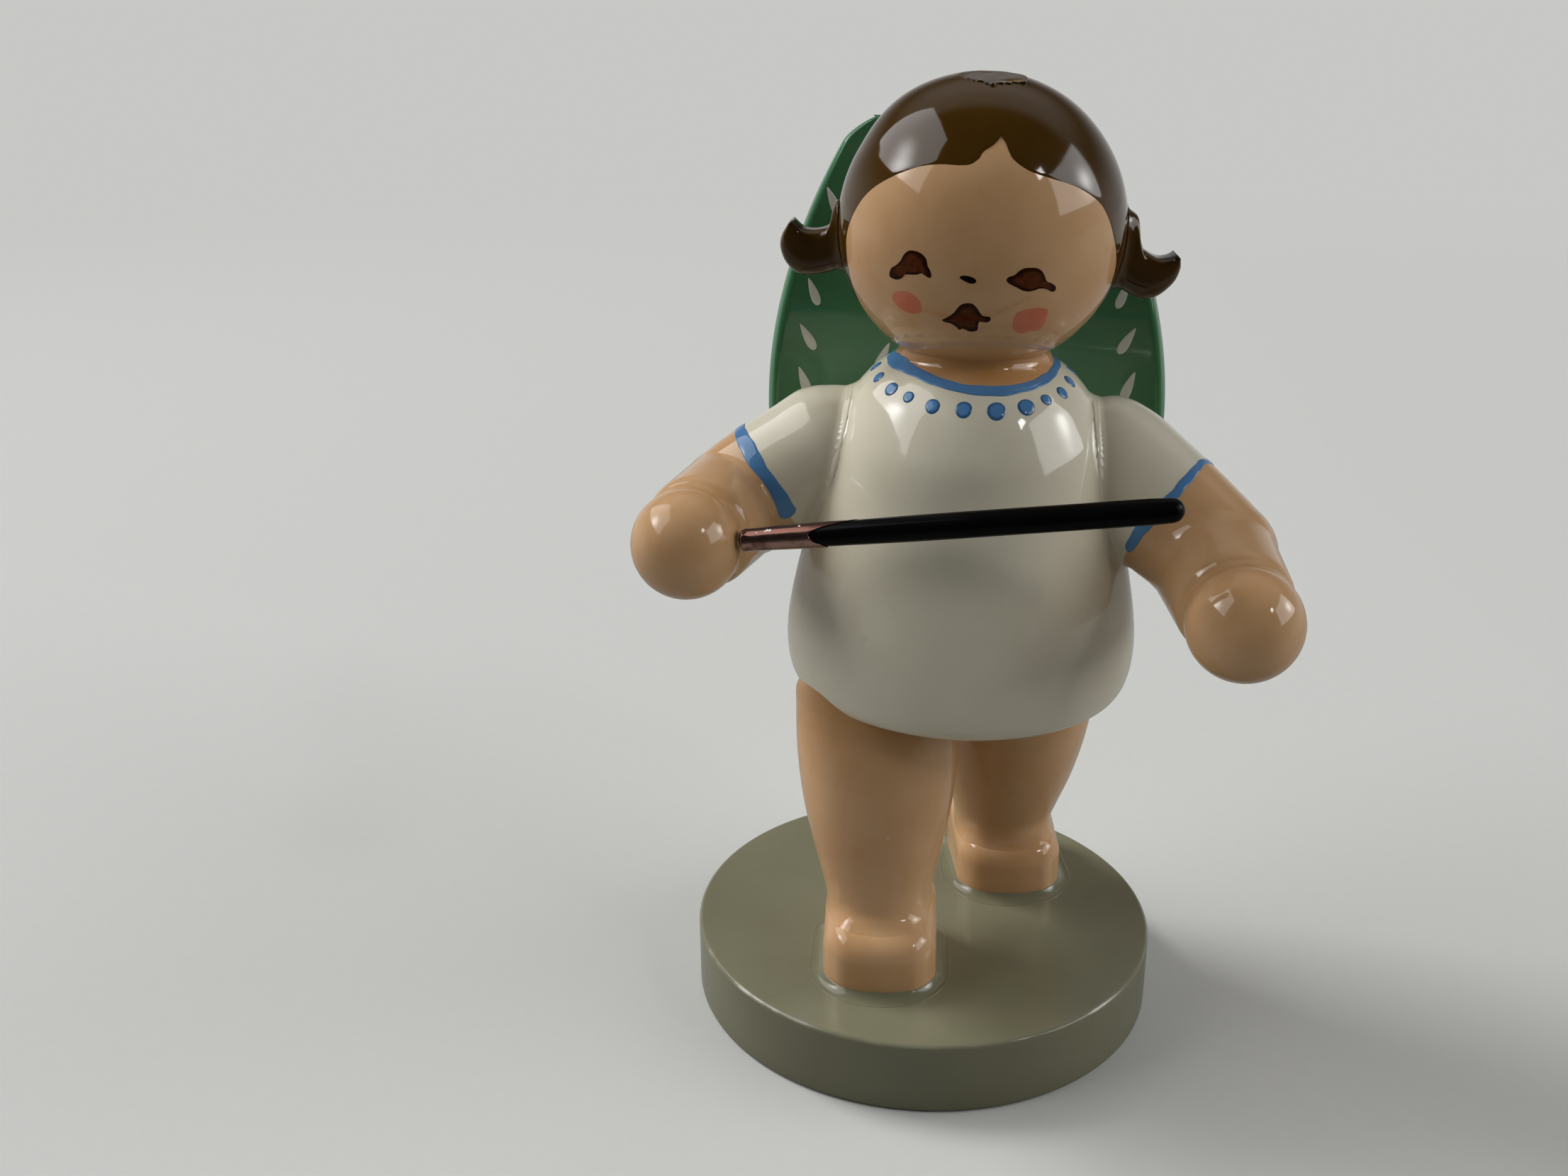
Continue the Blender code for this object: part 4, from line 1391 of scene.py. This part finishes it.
@dataclass
class Arm:
    """One arm: the upper arm with its sleeve, the forearm and the ball hand.

    The sleeve holds (share of the upper arm's length, radius), and the band the degrees from the
    arm's top towards the front and how far along the arm its two edges lie there.
    """

    side: Side
    shoulder: Triple
    elbow: Triple
    hand: Triple
    sleeve: tuple[Pair, ...]
    band: tuple[Triple, ...]
    heel: Triple
    heel_radius: float
    elbow_radius: float
    wrist_radius: float
    elbow_blend: float
    hand_radius: float = 3.52
    elbow_depth: float = 1.8
    wrist_blend: float = 1.0
    wrist_depth: float = 0.4
    wrist_lip: float = 1.7
    band_thick: float = 0.06
    columns: int = 240

    def __post_init__(self) -> None:
        """Works out the turned forms of the upper arm and the forearm."""
        length = math.dist(self.shoulder, self.elbow)
        shares, radii = np.array(self.sleeve).T
        rows = np.vstack([joined(radii, shares * length), (self.elbow_radius, length)])
        t = np.linspace(0.0, np.pi / 2 - 0.02, 60)[1:]
        tip = joined(np.cos(t), np.sin(t)) * self.elbow_radius + (0.0, length)
        profile = np.vstack([even_steps(smooth_curve(rows, 20), 150), tip])
        self.upper = Turning(profile, Place.along(self.shoulder, self.elbow))
        start = np.add(self.elbow, self.heel)
        end = math.dist(start, self.hand) - 1.0
        run = np.linspace(-0.97 * self.heel_radius, end, 220)
        radius = self.heel_radius + (self.wrist_radius - self.heel_radius) * run / end
        past = np.clip((run - end + self.wrist_lip) / self.wrist_lip, 0.0, 1.0)
        radius = radius - self.wrist_lip * (1.0 - np.sqrt(1.0 - past**2))
        tucked = np.sqrt(self.heel_radius**2 - np.minimum(run, 0.0) ** 2)
        radius = np.where(run < 0, tucked, radius)
        self.fore = Turning(joined(radius, run), Place.along(start, self.hand))

    @property
    def front(self) -> float:
        """The sign of the upper arm's first axis that points to the front."""
        return np.sign(-self.upper.place.axes[0, 1])

    def band_edges(self, angle: Array) -> tuple[Array, Array]:
        """How far along the arm the band's two edges lie, by degrees from the top to the front."""
        degrees, near, far = np.array(self.band).T
        return np.interp(angle, degrees, near), np.interp(angle, degrees, far)

    def sleeve_grid(self, shirt: Shirt) -> Array:
        """The upper arm's skin with lacquer drawn into its crease on the shirt."""
        points = self.upper.surface(self.columns)
        gap = shirt.form.gap(points)
        gap = np.where(gap > -0.6, gap, FAR_AWAY)
        return drawn_in(points, gap, shirt.crease, shirt.crease_fill)

    def upper_gap(self, points: Array) -> Array:
        """Distance of points from the upper arm, whose elbow is a ball."""
        past = self.upper.place.into(points)[..., 2] > math.dist(self.shoulder, self.elbow)
        away = np.linalg.norm(points - np.array(self.elbow), axis=-1) - self.elbow_radius
        return np.where(past, away, self.upper.gap(points))

    def hand_gap(self, points: Array) -> Array:
        """Distance of points from the ball hand."""
        return np.linalg.norm(points - np.array(self.hand), axis=-1) - self.hand_radius

    def build(self, bench: Bench, shirt: Shirt) -> None:
        """Builds the sleeve, its band, the forearm and the hand.

        Args:
            bench: Where pieces are filed.
            shirt: The shirt that the sleeve meets.
        """
        name, slot = self.side.value, "skin_lacquer"
        points = self.sleeve_grid(shirt)
        near, far = self.band_edges(self._angles())
        bare = self.upper.profile[:, 1:] - (near + far)[None, :] / 2
        # Darker near the shirt: painted shade in the crease, with settled varnish.
        pool = 0.5 * nearness([shirt.form.gap(points)], 0.4)
        sleeve = Skin(points, marks={"bare": bare, "pool": pool})
        bench.dress(name + "_upper_arm", sleeve, Paint.SLEEVE)
        bench.file(name + "_sleeve_band", [self._band(points)], Paint.BLUE)
        points = self.fore.surface(self.columns)
        points = filleted(points, self.upper_gap, self.elbow_blend, self.elbow_depth)
        points = filleted(points, self.hand_gap, self.wrist_blend, self.wrist_depth)
        # Darker next to the hand: painted shade in the crease, with settled varnish.
        fore = Skin(points, marks={"pool": 0.5 * nearness([self.hand_gap(points)], 0.5)})
        bench.dress(name + "_forearm", fore, Paint.SKIN)
        place = Place.along(self.hand, np.add(self.hand, np.subtract(self.hand, self.elbow)))
        points = place.out(ball(self.hand_radius, 120, 180))
        # Darker next to the forearm: painted shade in the crease, with settled varnish.
        hand = Skin(points, marks={"pool": 0.8 * nearness([self.fore.gap(points)], 0.5)})
        bench.dress(name + "_hand", hand, Paint.SKIN)

    def _angles(self) -> Array:
        """For each column of the sleeve, the degrees from the arm's top towards the front."""
        turn = circle(self.columns)
        return np.degrees(np.arctan2(self.front * np.cos(turn), np.sin(turn)))

    def _band(self, sleeve: Array) -> Skin:
        """The band: a stroke's section carried over the sleeve, blunt at both of its ends."""
        angle = np.linspace(self.band[0][0], self.band[-1][0], 320)[:, None]
        near, far = self.band_edges(angle)
        wave = 0.03 * np.sin(np.radians(7 * angle)) + 0.02 * np.sin(np.radians(19 * angle))
        left = np.radians(np.minimum(angle - angle[0], angle[-1] - angle)) * self.elbow_radius
        blunt = np.sqrt(np.clip(1.0 - (1.0 - np.clip(left / 0.5, 0.0, 1.0)) ** 2, 0.001, 1.0))
        across, lift = (part[None, :] for part in bead_section(24, self.band_thick))
        run = (near + far) / 2 + wave + across * blunt * (far - near) / 2
        turn = np.pi / 2 - self.front * np.radians(angle)
        rows = np.interp(run, self.upper.profile[:, 1], np.arange(len(sleeve)))
        columns = np.broadcast_to(turn * self.columns / (2 * np.pi), rows.shape)
        base = sampled(sleeve, rows, columns)
        normals = unit(sampled(outward_normals(sleeve), rows, columns))
        return Skin(base + normals * (lift * (0.4 + 0.6 * blunt))[..., None])


@dataclass
class Wing:
    """One wing: a leaf with a shallow trough down its front, and white feather strokes.

    Each row of strokes holds their heights, and its set the share of the way from the inner to
    the outer edge and the lean in degrees.
    """

    side: Side
    spine: float = 2.0
    gap: float = 0.4
    span: float = 13.4
    widest: float = 40.5
    bottom: float = 29.5
    top: float = 61.0
    taper: float = 0.01475
    parting: float = 45.0
    tip_width: float = 1.3
    thickness: float = 1.4
    hollow: float = 0.028
    deepest: float = 5.5
    tilt: float = 0.05
    back: float = 10.3
    rounding: float = 0.4
    swell: Pair = (0.3, 0.65)
    tip_round: Pair = (1.8, 1.3)
    stroke: Pair = (2.3, 0.62)
    outer_row: tuple[float, ...] = (33.0, 36.2, 39.4, 42.6, 45.8, 49.0, 52.2, 55.2)
    inner_row: tuple[float, ...] = (34.6, 37.8, 41.0, 44.2, 47.4)
    outer_set: Pair = (0.84, 24.0)
    inner_set: Pair = (0.42, -20.0)
    stroke_thick: float = 0.05

    def edges(self, height: Array) -> tuple[Array, Array]:
        """The inner and outer edge at a height: a parabola above the widest, an ellipse below."""
        above = self.span - self.taper * (height - self.widest) ** 2
        fall = np.clip((self.widest - height) / (self.widest - self.bottom), 0.0, 1.0)
        root = self.gap + 1.0
        below = root + (self.span - root) * np.sqrt(1.0 - fall**2)
        tip = self.span - self.taper * (self.top - self.widest) ** 2 - self.tip_width
        rise = np.clip((height - self.parting) / (self.top - self.parting), 0.0, 1.0)
        inner = self.gap + (tip - self.gap) * rise**1.5
        grown = np.interp(height, (self.bottom, self.widest, self.top), (0.0, *self.swell))
        reach, cut = self.tip_round
        near_tip = np.clip((height - self.top + reach) / reach, 0.0, 1.0)
        return inner, np.where(height > self.widest, above, below) + grown - cut * near_tip**2

    def front(self, out: Array, height: Array, through: Array) -> Array:
        """Points of the wing: the trough's depth falls with the square of the way from its middle.

        Args:
            out: Distance from the spine.
            height: Height above the floor.
            through: Distance behind the front face, along its normal.

        Returns:
            Points in the part's frame.
        """
        depth = self.back + self.hollow * (self.deepest**2 - (out - self.deepest) ** 2)
        depth = depth + self.tilt * np.maximum(height - self.widest, 0.0)
        across = 2 * self.hollow * (out - self.deepest)
        upward = -self.tilt * (height > self.widest)
        normal = unit(joined(across, 1.0, upward))
        points = joined(out, depth, height) + normal * through[..., None]
        return points * (self.side.outward, 1.0, 1.0) + (self.spine, 0.0, 0.0)

    def build(self, bench: Bench) -> None:
        """Builds the leaf and the strokes laid on its front."""
        name = self.side.value + "_wing"
        bench.dress(name, self._leaf(), Paint.GREEN)
        bench.file(name + "_strokes", self._strokes(), Paint.WHITE)

    def _leaf(self) -> Skin:
        """The leaf: a rounded rectangle of its width and thickness, carried up its height."""
        r = self.rounding
        line, bend = np.linspace(0.0, 1.0, 70), np.linspace(0.0, np.pi / 2, 9)[1:-1]
        flat, still = np.zeros_like(line), np.zeros_like(bend)
        share = np.concatenate([line, still + 1, still + 1, line[::-1], still, still])
        deep = np.concatenate([flat, still, still + 1, flat + 1, still + 1, still])
        nx = [flat, np.sin(bend), np.cos(bend), flat, -np.sin(bend), -np.cos(bend)]
        ny = [flat - 1, -np.cos(bend), np.sin(bend), flat + 1, np.cos(bend), -np.sin(bend)]
        nx, ny = np.concatenate(nx), np.concatenate(ny)
        t = np.linspace(0.0, 1.0, 190)
        height = (self.bottom + (self.top - self.bottom) * (0.5 - 0.5 * np.cos(np.pi * t)))[:, None]
        end = np.minimum(height - self.bottom, self.top - height) / r
        thin = r * (1.0 - np.sqrt(1.0 - np.clip(1.0 - end, 0.0, 1.0) ** 2))
        inner, outer = self.edges(height)
        inner, outer = inner + thin * 0.5, outer - thin * 0.5
        core = np.maximum(outer - inner - 2 * r, 0.0)
        out = inner + r + share * core + r * nx
        through = r + deep * (self.thickness - 2 * r) + r * ny
        middle = self.thickness / 2
        through = middle + (through - middle) * (1.0 - 1.2 * thin / self.thickness)
        points = self.front(*np.broadcast_arrays(out, height, through))
        edge = np.minimum(out - inner, outer - out)
        # Darker along both edges: settled varnish and painted shade on the margins.
        return Skin(points, marks={"pool": 0.6 * np.exp(-np.maximum(edge, 0.0) / 0.9)})

    def _strokes(self) -> list[Skin]:
        """Feather strokes: tapered drops in two rows that lean out like barbs from a quill."""
        length, width = self.stroke
        t = circle(48)
        drop = joined(width / 2 * np.sin(t) * (1.0 + 0.55 * np.cos(t)), -length / 2 * np.cos(t))
        rows = ((self.outer_row, self.outer_set), (self.inner_row, self.inner_set))
        dabs = []
        for heights, (share, lean) in rows:
            for number, height in enumerate(heights):
                inner, outer = self.edges(np.array(height))
                middle = (float(inner + share * (outer - inner)), height)
                a = math.radians(-lean + 5.0 * math.sin(2.7 * number))
                turn = np.array(((math.cos(a), math.sin(a)), (-math.sin(a), math.cos(a))))
                outline = drop * (1.0 - 0.04 * (number % 3)) @ turn + middle
                thick, rings = self.stroke_thick, SMALL_DAB_RINGS
                dabs.append(painted_patch(outline, middle, self._on_front, thick, rings))
        return dabs

    def _on_front(self, spots: Array, lift: Array) -> Array:
        """Points on the wing's front from the way out and the height."""
        return self.front(spots[..., 0], spots[..., 1], -lift)


@dataclass
class Brush:
    """The small brush: a coppered ferrule on the right hand, and a black handle.

    The handle holds (radius, distance from the hand), and the tongues how far they run on.
    """

    hand: Triple
    end: Triple = (14.33, -14.0, 41.27)
    hand_radius: float = 3.52
    gap: float = 0.2
    ferrule_radius: float = 0.69
    ferrule_wall: float = 0.05
    ferrule_start: float = 0.15
    ferrule_length: float = 4.6
    ferrule_tongue: Pair = (3.0, 1.0)
    view_tilt: float = 21.0
    ferrule_flare: float = 0.024
    handle: tuple[Pair, ...] = (
        (0.30, 0.1), (0.56, 0.3), (0.66, 3.5), (0.72, 4.6), (0.765, 7.2), (0.785, 8.6),
        (0.81, 12.0), (0.80, 18.0), (0.78, 25.0),
    )
    tail: float = 0.73

    def build(self, bench: Bench) -> None:
        """Builds the ferrule and the handle along one axis.

        Args:
            bench: Where pieces are filed.
        """
        start, end = np.array(self.hand), np.array(self.end)
        near = start + unit(end - start) * (self.hand_radius + self.gap)
        place = Place.along(near, end)
        bench.dress("brush_ferrule", self._ferrule(place), Paint.COPPER)
        t = np.linspace(0.0, np.pi / 2 - 0.05, 16)
        middle = np.linalg.norm(end - near) - self.tail
        cap = joined(np.cos(t), np.sin(t)) * self.tail + (0.0, middle)
        handle = Turning(np.vstack([smooth_curve(self.handle, 14), cap]), place)
        bench.dress("brush_handle", Skin(handle.surface(72)), Paint.BLACK)

    def _ferrule(self, place: Place) -> Skin:
        """The ferrule: a thin wall carried round, its far end running on as two tongues."""
        angle = circle(120)[None, :]
        high = np.sin(angle + math.radians(self.view_tilt))
        above, below = self.ferrule_tongue
        length = self.ferrule_length + above * np.clip(high, 0, 1) ** 2
        length = length + below * np.clip(-high, 0, 1) ** 2
        t = np.linspace(0.0, 1.0, 50)[:, None]
        outside = self.ferrule_start + t * (length - self.ferrule_start)
        run = np.vstack([outside, outside[::-1]])
        lip = 0.03 * bell(run, self.ferrule_start, 0.25)
        inner = self.ferrule_radius - self.ferrule_wall
        thick = np.repeat((self.ferrule_radius, inner), len(t))[:, None]
        radius = thick + lip + self.ferrule_flare * np.minimum(run, self.ferrule_length)
        points = place.out(joined(radius * np.cos(angle), radius * np.sin(angle), run))
        upper = np.broadcast_to(high, points.shape[:2])
        return Skin(points, looped=True, marks={"upper": upper})


@dataclass(frozen=True)
class Lamp:
    """A soft upright window beside the figure.

    Args:
        name: The lamp's name.
        side: The sign of X on its side.
        place: Its middle behind and above the figure, as shares of its distance.
        spread: Its width and height, as shares of its distance.
        level: Its brightness, where white paper in plain light is 1.
        reach: Whether it lights the figure, shows in its gloss, or both.
        glow: The place, size and strength of a brighter spot in it.
        nearer: Share of the distance at which a lamp hangs that the gloss shows, so that no
            other lamp hides it.
    """

    name: str
    side: int
    place: Pair
    spread: Pair
    level: float
    reach: Ray
    glow: Optional[tuple[float, float, float, float]] = None
    nearer: float = 0.95

    def hang(self, target: Vector, distance: float) -> None:
        """Hangs the lamp at a distance in metres from its target, facing it."""
        side = self.side
        lamp = bpy.data.lights.new(self.name, "AREA")
        lamp.shape = "RECTANGLE"
        far = distance * (1.0 if self.reach is Ray.DIFFUSE else self.nearer)
        lamp.size, lamp.size_y = (far * share for share in self.spread)
        lamp.energy = self.level * math.pi * lamp.size * lamp.size_y
        turn = Matrix(((0, side, 0), (0, 0, 1), (side, 0, 0))).transposed().to_4x4()
        holder = bpy.data.objects.new(self.name, lamp)
        holder.matrix_world = Matrix.Translation(target + Vector((side, *self.place)) * far) @ turn
        holder.visible_glossy = self.reach is not Ray.DIFFUSE
        holder.visible_diffuse = self.reach is not Ray.GLOSSY
        bpy.context.scene.collection.objects.link(holder)
        if self.glow:
            behind, above, size, strength = self.glow
            spot = target + Vector((side, behind, above)) * far
            self._brighten(lamp, spot, size * far, strength)

    @staticmethod
    def _brighten(lamp: Any, spot: Vector, size: float, strength: float) -> None:
        """Makes one spot of a window brighter: 1 + strength exp(-(d / size)^2).

        Args:
            lamp: The window's lamp.
            spot: The spot's place, in metres.
            size: Its size, in metres.
            strength: How much brighter it is.
        """
        lamp.use_nodes = True
        net = Net(lamp.node_tree)
        where = net.add("NewGeometry").outputs["Position"]
        away = net.add("VectorMath", {0: where, 1: tuple(spot)}, operation="DISTANCE")
        square = net.maths("POWER", net.maths("DIVIDE", away.outputs["Value"], size), 2.0)
        fall = net.maths("EXPONENT", net.times(square, -1.0))
        level = net.maths("MULTIPLY_ADD", fall, strength, 1.0)
        net.feed(net.tree.nodes["Emission"], {"Strength": level})


@dataclass
class Studio:
    """Floor, soft side windows, sky and the camera."""

    eye: Triple = (-0.08, -100.49, 69.09)
    ahead: Triple = (-0.0927, 0.9292, -0.3578)
    upward: Triple = (-0.0282, 0.3567, 0.9338)
    focal_pixels: float = 2200.0
    frame_pixels: float = 2212.0
    target: Triple = (2.0, 0.0, 40.0)
    backdrop: Colour = (0.575, 0.58, 0.56)
    floor_tone: Colour = (0.58, 0.585, 0.565)
    floor_dark: Colour = (0.03, 0.03, 0.03)
    floor_bounce: float = 0.5
    floor_rough: float = 0.8
    floor_edge: float = 6000.0
    fade: Pair = (0.12, 0.5)
    room: Pair = (-0.13, -0.04)
    distance: float = 1200.0
    lamps: tuple[Lamp, ...] = (
        Lamp("back_key", -1, (0.5, 1.2), (0.6, 0.6), 20.0, Ray.DIFFUSE),
        Lamp("left_soft", -1, (0.05, 0.85), (1.4, 1.2), 2.4, Ray.DIFFUSE),
        Lamp("right_soft", 1, (-0.04, 0.6), (1.0, 0.9), 2.65, Ray.DIFFUSE),
        Lamp("small_lamp", 1, (-0.68, 1.02), (0.2, 0.2), 18.0, Ray.BOTH),
        Lamp(
            "left_window", -1, (0.12, 1.3), (1.55, 1.44), 2.6, Ray.GLOSSY, (0.0, 0.72, 0.2, 4.0)
        ),
        Lamp(
            "right_window", 1, (-0.09, 0.52), (0.9, 0.62), 3.0, Ray.GLOSSY, (0.12, 0.44, 0.12, 3.0)
        ),
    )
    sky_dim: float = 0.03
    sky_low: float = 0.5
    sky_ceiling: float = 0.4
    wall_back: Pair = (-0.45, 0.25)
    wall_top: Pair = (0.02, 0.5)
    ceiling_back: Pair = (0.1, 0.32)
    ceiling_low: Pair = (0.4, 0.8)

    def build(self) -> None:
        """Sets the floor, the lamps, the sky and the camera."""
        self._floor()
        for lamp in self.lamps:
            lamp.hang(Vector(self.target) * MM, self.distance * MM)
        self._sky()
        self._camera()
        bpy.context.scene.view_settings.view_transform = "Standard"

    def _floor(self) -> None:
        """A wide plain floor: a disc carried round the axis, its rings wider further out."""
        top = joined(np.geomspace(2.0, self.floor_edge, 60), -0.02)
        profile = np.vstack([top, [(self.floor_edge, -30.0), (2.0, -30.0)]])
        verts, quads, tris = Skin(turned(profile, 96)).shell()
        mesh = bpy.data.meshes.new("floor")
        mesh.from_pydata((verts * MM).tolist(), [], quads.tolist() + tris.tolist())
        floor = bpy.data.objects.new("floor", mesh)
        bpy.context.scene.collection.objects.link(floor)
        mesh.materials.append(self._paper())

    def _paper(self) -> Material:
        """The floor's paper, which takes shadows near the figure and fades to the backdrop.

        It bounces less light than the camera sees, and a gloss finds it dark in front.
        """
        coat = Coat("floor_paper")
        where = coat.where
        path = coat.add("LightPath").outputs
        fibre = coat.ramp(coat.noise(where, 900.0, 4.0), 0.2, 0.8)
        worn, dim = (
            tuple(share * part for part in self.floor_tone) for share in (0.985, self.floor_bounce)
        )
        tone = coat.blend(fibre, self.floor_tone, worn)
        tone = coat.blend(path["Is Camera Ray"], dim, tone)
        behind = coat.add("SeparateXYZ", {0: where}).outputs[1]
        shade = coat.times(path["Is Glossy Ray"], coat.rest(coat.ramp(behind, *self.room)))
        tone = coat.blend(shade, tone, self.floor_dark)
        coat.feed(coat.shader, {"Base Color": tone, "Roughness": self.floor_rough})
        glow = coat.add("Emission", {0: opaque(self.backdrop), 1: 1.0})
        away = coat.add("VectorMath", {0: where}, operation="LENGTH").outputs["Value"]
        seen = coat.maths("MAXIMUM", path["Is Camera Ray"], path["Is Glossy Ray"])
        seen = coat.maths("MAXIMUM", seen, path["Is Transmission Ray"])
        share = coat.times(coat.times(coat.ramp(away, *self.fade), seen), coat.rest(shade))
        shaders = {0: share, 1: coat.shader.outputs[0], 2: glow.outputs[0]}
        mixed = coat.add("MixShader", shaders).outputs[0]
        coat.feed(coat.tree.nodes["Material Output"], {"Surface": mixed})
        return coat.material

    def _sky(self) -> None:
        """A dim room with pale walls and a pale ceiling behind; the camera sees it even."""
        world = bpy.data.worlds.new("room")
        bpy.context.scene.world = world
        world.use_nodes = True
        net = Net(world.node_tree)
        where = net.add("TexCoord").outputs["Generated"]
        _, back, up = net.add("SeparateXYZ", {0: where}).outputs
        low = net.times(net.ramp(back, *self.wall_back), net.rest(net.ramp(up, *self.wall_top)))
        high = net.times(net.ramp(up, *self.ceiling_low), net.ramp(back, *self.ceiling_back))
        levels = (self.sky_dim, self.sky_low, self.sky_ceiling)
        dim, wall, ceiling = ((level,) * 3 for level in levels)
        light = net.blend(high, net.blend(low, dim, wall), ceiling)
        camera = net.add("LightPath").outputs["Is Camera Ray"]
        colour = net.blend(camera, light, self.backdrop)
        net.feed(net.tree.nodes["Background"], {"Color": colour})

    def _camera(self) -> None:
        """The camera where the photograph was taken from."""
        ahead = Vector(self.ahead).normalized()
        right = ahead.cross(Vector(self.upward)).normalized()
        upward = right.cross(ahead)
        camera = bpy.data.cameras.new("camera")
        camera.sensor_width = 36.0
        camera.lens = camera.sensor_width * self.focal_pixels / self.frame_pixels
        camera.clip_start = 0.005
        camera.clip_end = 50.0
        holder = bpy.data.objects.new("camera", camera)
        turn = Matrix((right, upward, -ahead)).transposed().to_4x4()
        holder.matrix_world = Matrix.Translation(Vector(self.eye) * MM) @ turn
        bpy.context.scene.collection.objects.link(holder)
        bpy.context.scene.camera = holder


RIGHT_ARM = Arm(
    Side.RIGHT,
    shoulder=(-6.4, 1.4, 40.6),
    elbow=(-13.5, 0.2, 36.4),
    hand=(-15.45, -8.5, 36.45),
    sleeve=(
        (-0.42, 1.2), (-0.3, 2.8), (-0.11, 3.85), (0.02, 4.28), (0.12, 4.4), (0.33, 4.3),
        (0.62, 4.27), (0.82, 4.17),
    ),
    band=(
        (-150, 4.9, 5.7), (0, 4.9, 5.7), (34, 4.75, 5.8), (60, 4.7, 5.75), (80, 4.55, 5.7),
        (112, 4.5, 5.78),
    ),
    heel=(0.0, 0.0, 0.0),
    heel_radius=3.94,
    elbow_radius=3.98,
    wrist_radius=3.72,
    elbow_blend=0.9,
)
LEFT_ARM = Arm(
    Side.LEFT,
    shoulder=(10.6, 1.4, 40.4),
    elbow=(18.2, -3.8, 34.9),
    hand=(18.65, -12.5, 33.7),
    sleeve=(
        (-0.3, 1.2), (-0.2, 2.6), (-0.11, 3.6), (-0.02, 4.08), (0.08, 4.3), (0.2, 4.4),
        (0.4, 4.33), (0.64, 4.22), (0.82, 4.08),
    ),
    band=(
        (-150, 6.1, 6.6), (0, 6.1, 6.55), (23, 6.35, 6.95), (43, 6.6, 7.2), (83, 6.42, 7.22),
        (116, 6.5, 7.1),
    ),
    heel=(-0.15, 0.0, -0.3),
    heel_radius=4.0,
    elbow_radius=3.9,
    wrist_radius=3.55,
    elbow_blend=2.4,
)
RIGHT_CURL = Curl(
    Side.RIGHT,
    place=(8.75, -1.1),
    inner=(
        (-1.2, 2.3), (0.35, 2.2), (0.68, 1.3), (1.13, 0.8), (1.9, 0.62), (2.57, 0.74),
        (3.2, 1.22),
    ),
    outer=(
        (-1.2, -1.75), (0.0, -1.8), (1.28, -2.2), (2.5, -2.28), (3.25, -1.92), (3.78, -1.28),
        (4.04, -0.42), (3.93, 0.3), (3.5, 1.05),
    ),
)
LEFT_CURL = Curl(
    Side.LEFT,
    place=(8.85, -1.65),
    inner=(
        (-1.2, 2.75), (0.75, 2.6), (0.96, 1.55), (1.08, 0.78), (1.54, 0.38), (2.35, -0.02),
        (3.04, 0.04), (3.42, 0.25),
    ),
    outer=(
        (-1.2, -1.7), (-0.42, -1.92), (0.27, -2.15), (0.96, -2.5), (1.77, -2.71), (2.35, -2.56),
        (2.93, -2.15), (3.51, -1.46), (3.76, -0.65), (3.68, 0.0),
    ),
)
RIGHT_LEG = Leg(Side.RIGHT, (-2.75, -11.45), 1.0, (-3.0, -5.9), (-3.45, -2.4))
LEFT_LEG = Leg(Side.LEFT, (6.85, 1.9), 8.0, (5.9, 6.7), (6.6, 4.6))


def dress_hidden(frame: dict[str, Any]) -> None:
    """Gives the hidden pegs, which stay as they are, the look of bare wood."""
    wood = Timber().material()
    for name, node in frame["nodes"].items():
        if name.endswith(("_peg", "_pin")):
            for slot in node.material_slots:
                slot.material = wood
            LOG.info("%s: bare wood", name)


def main() -> None:
    """Builds the figure piece by piece over its frame, then the studio round it."""
    logging.basicConfig(level=logging.INFO, format="%(message)s")
    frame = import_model()
    bench, shirt = Bench(), Shirt()
    head = Head(shirt)
    arms = (RIGHT_ARM, LEFT_ARM)
    Base().build(bench)
    for leg in (RIGHT_LEG, LEFT_LEG):
        leg.build(bench, shirt)
    shirt.build(bench, arms)
    head.build(bench)
    for curl in (RIGHT_CURL, LEFT_CURL):
        curl.build(bench, head)
    for arm in arms:
        arm.build(bench, shirt)
    Wing(Side.RIGHT).build(bench)
    Wing(Side.LEFT, swell=(0.45, 0.35)).build(bench)
    Brush(RIGHT_ARM.hand).build(bench)
    dress_hidden(frame)
    Studio().build()
    LOG.info("%d pieces", len(bench.pieces))


if __name__ == "__main__":
    main()
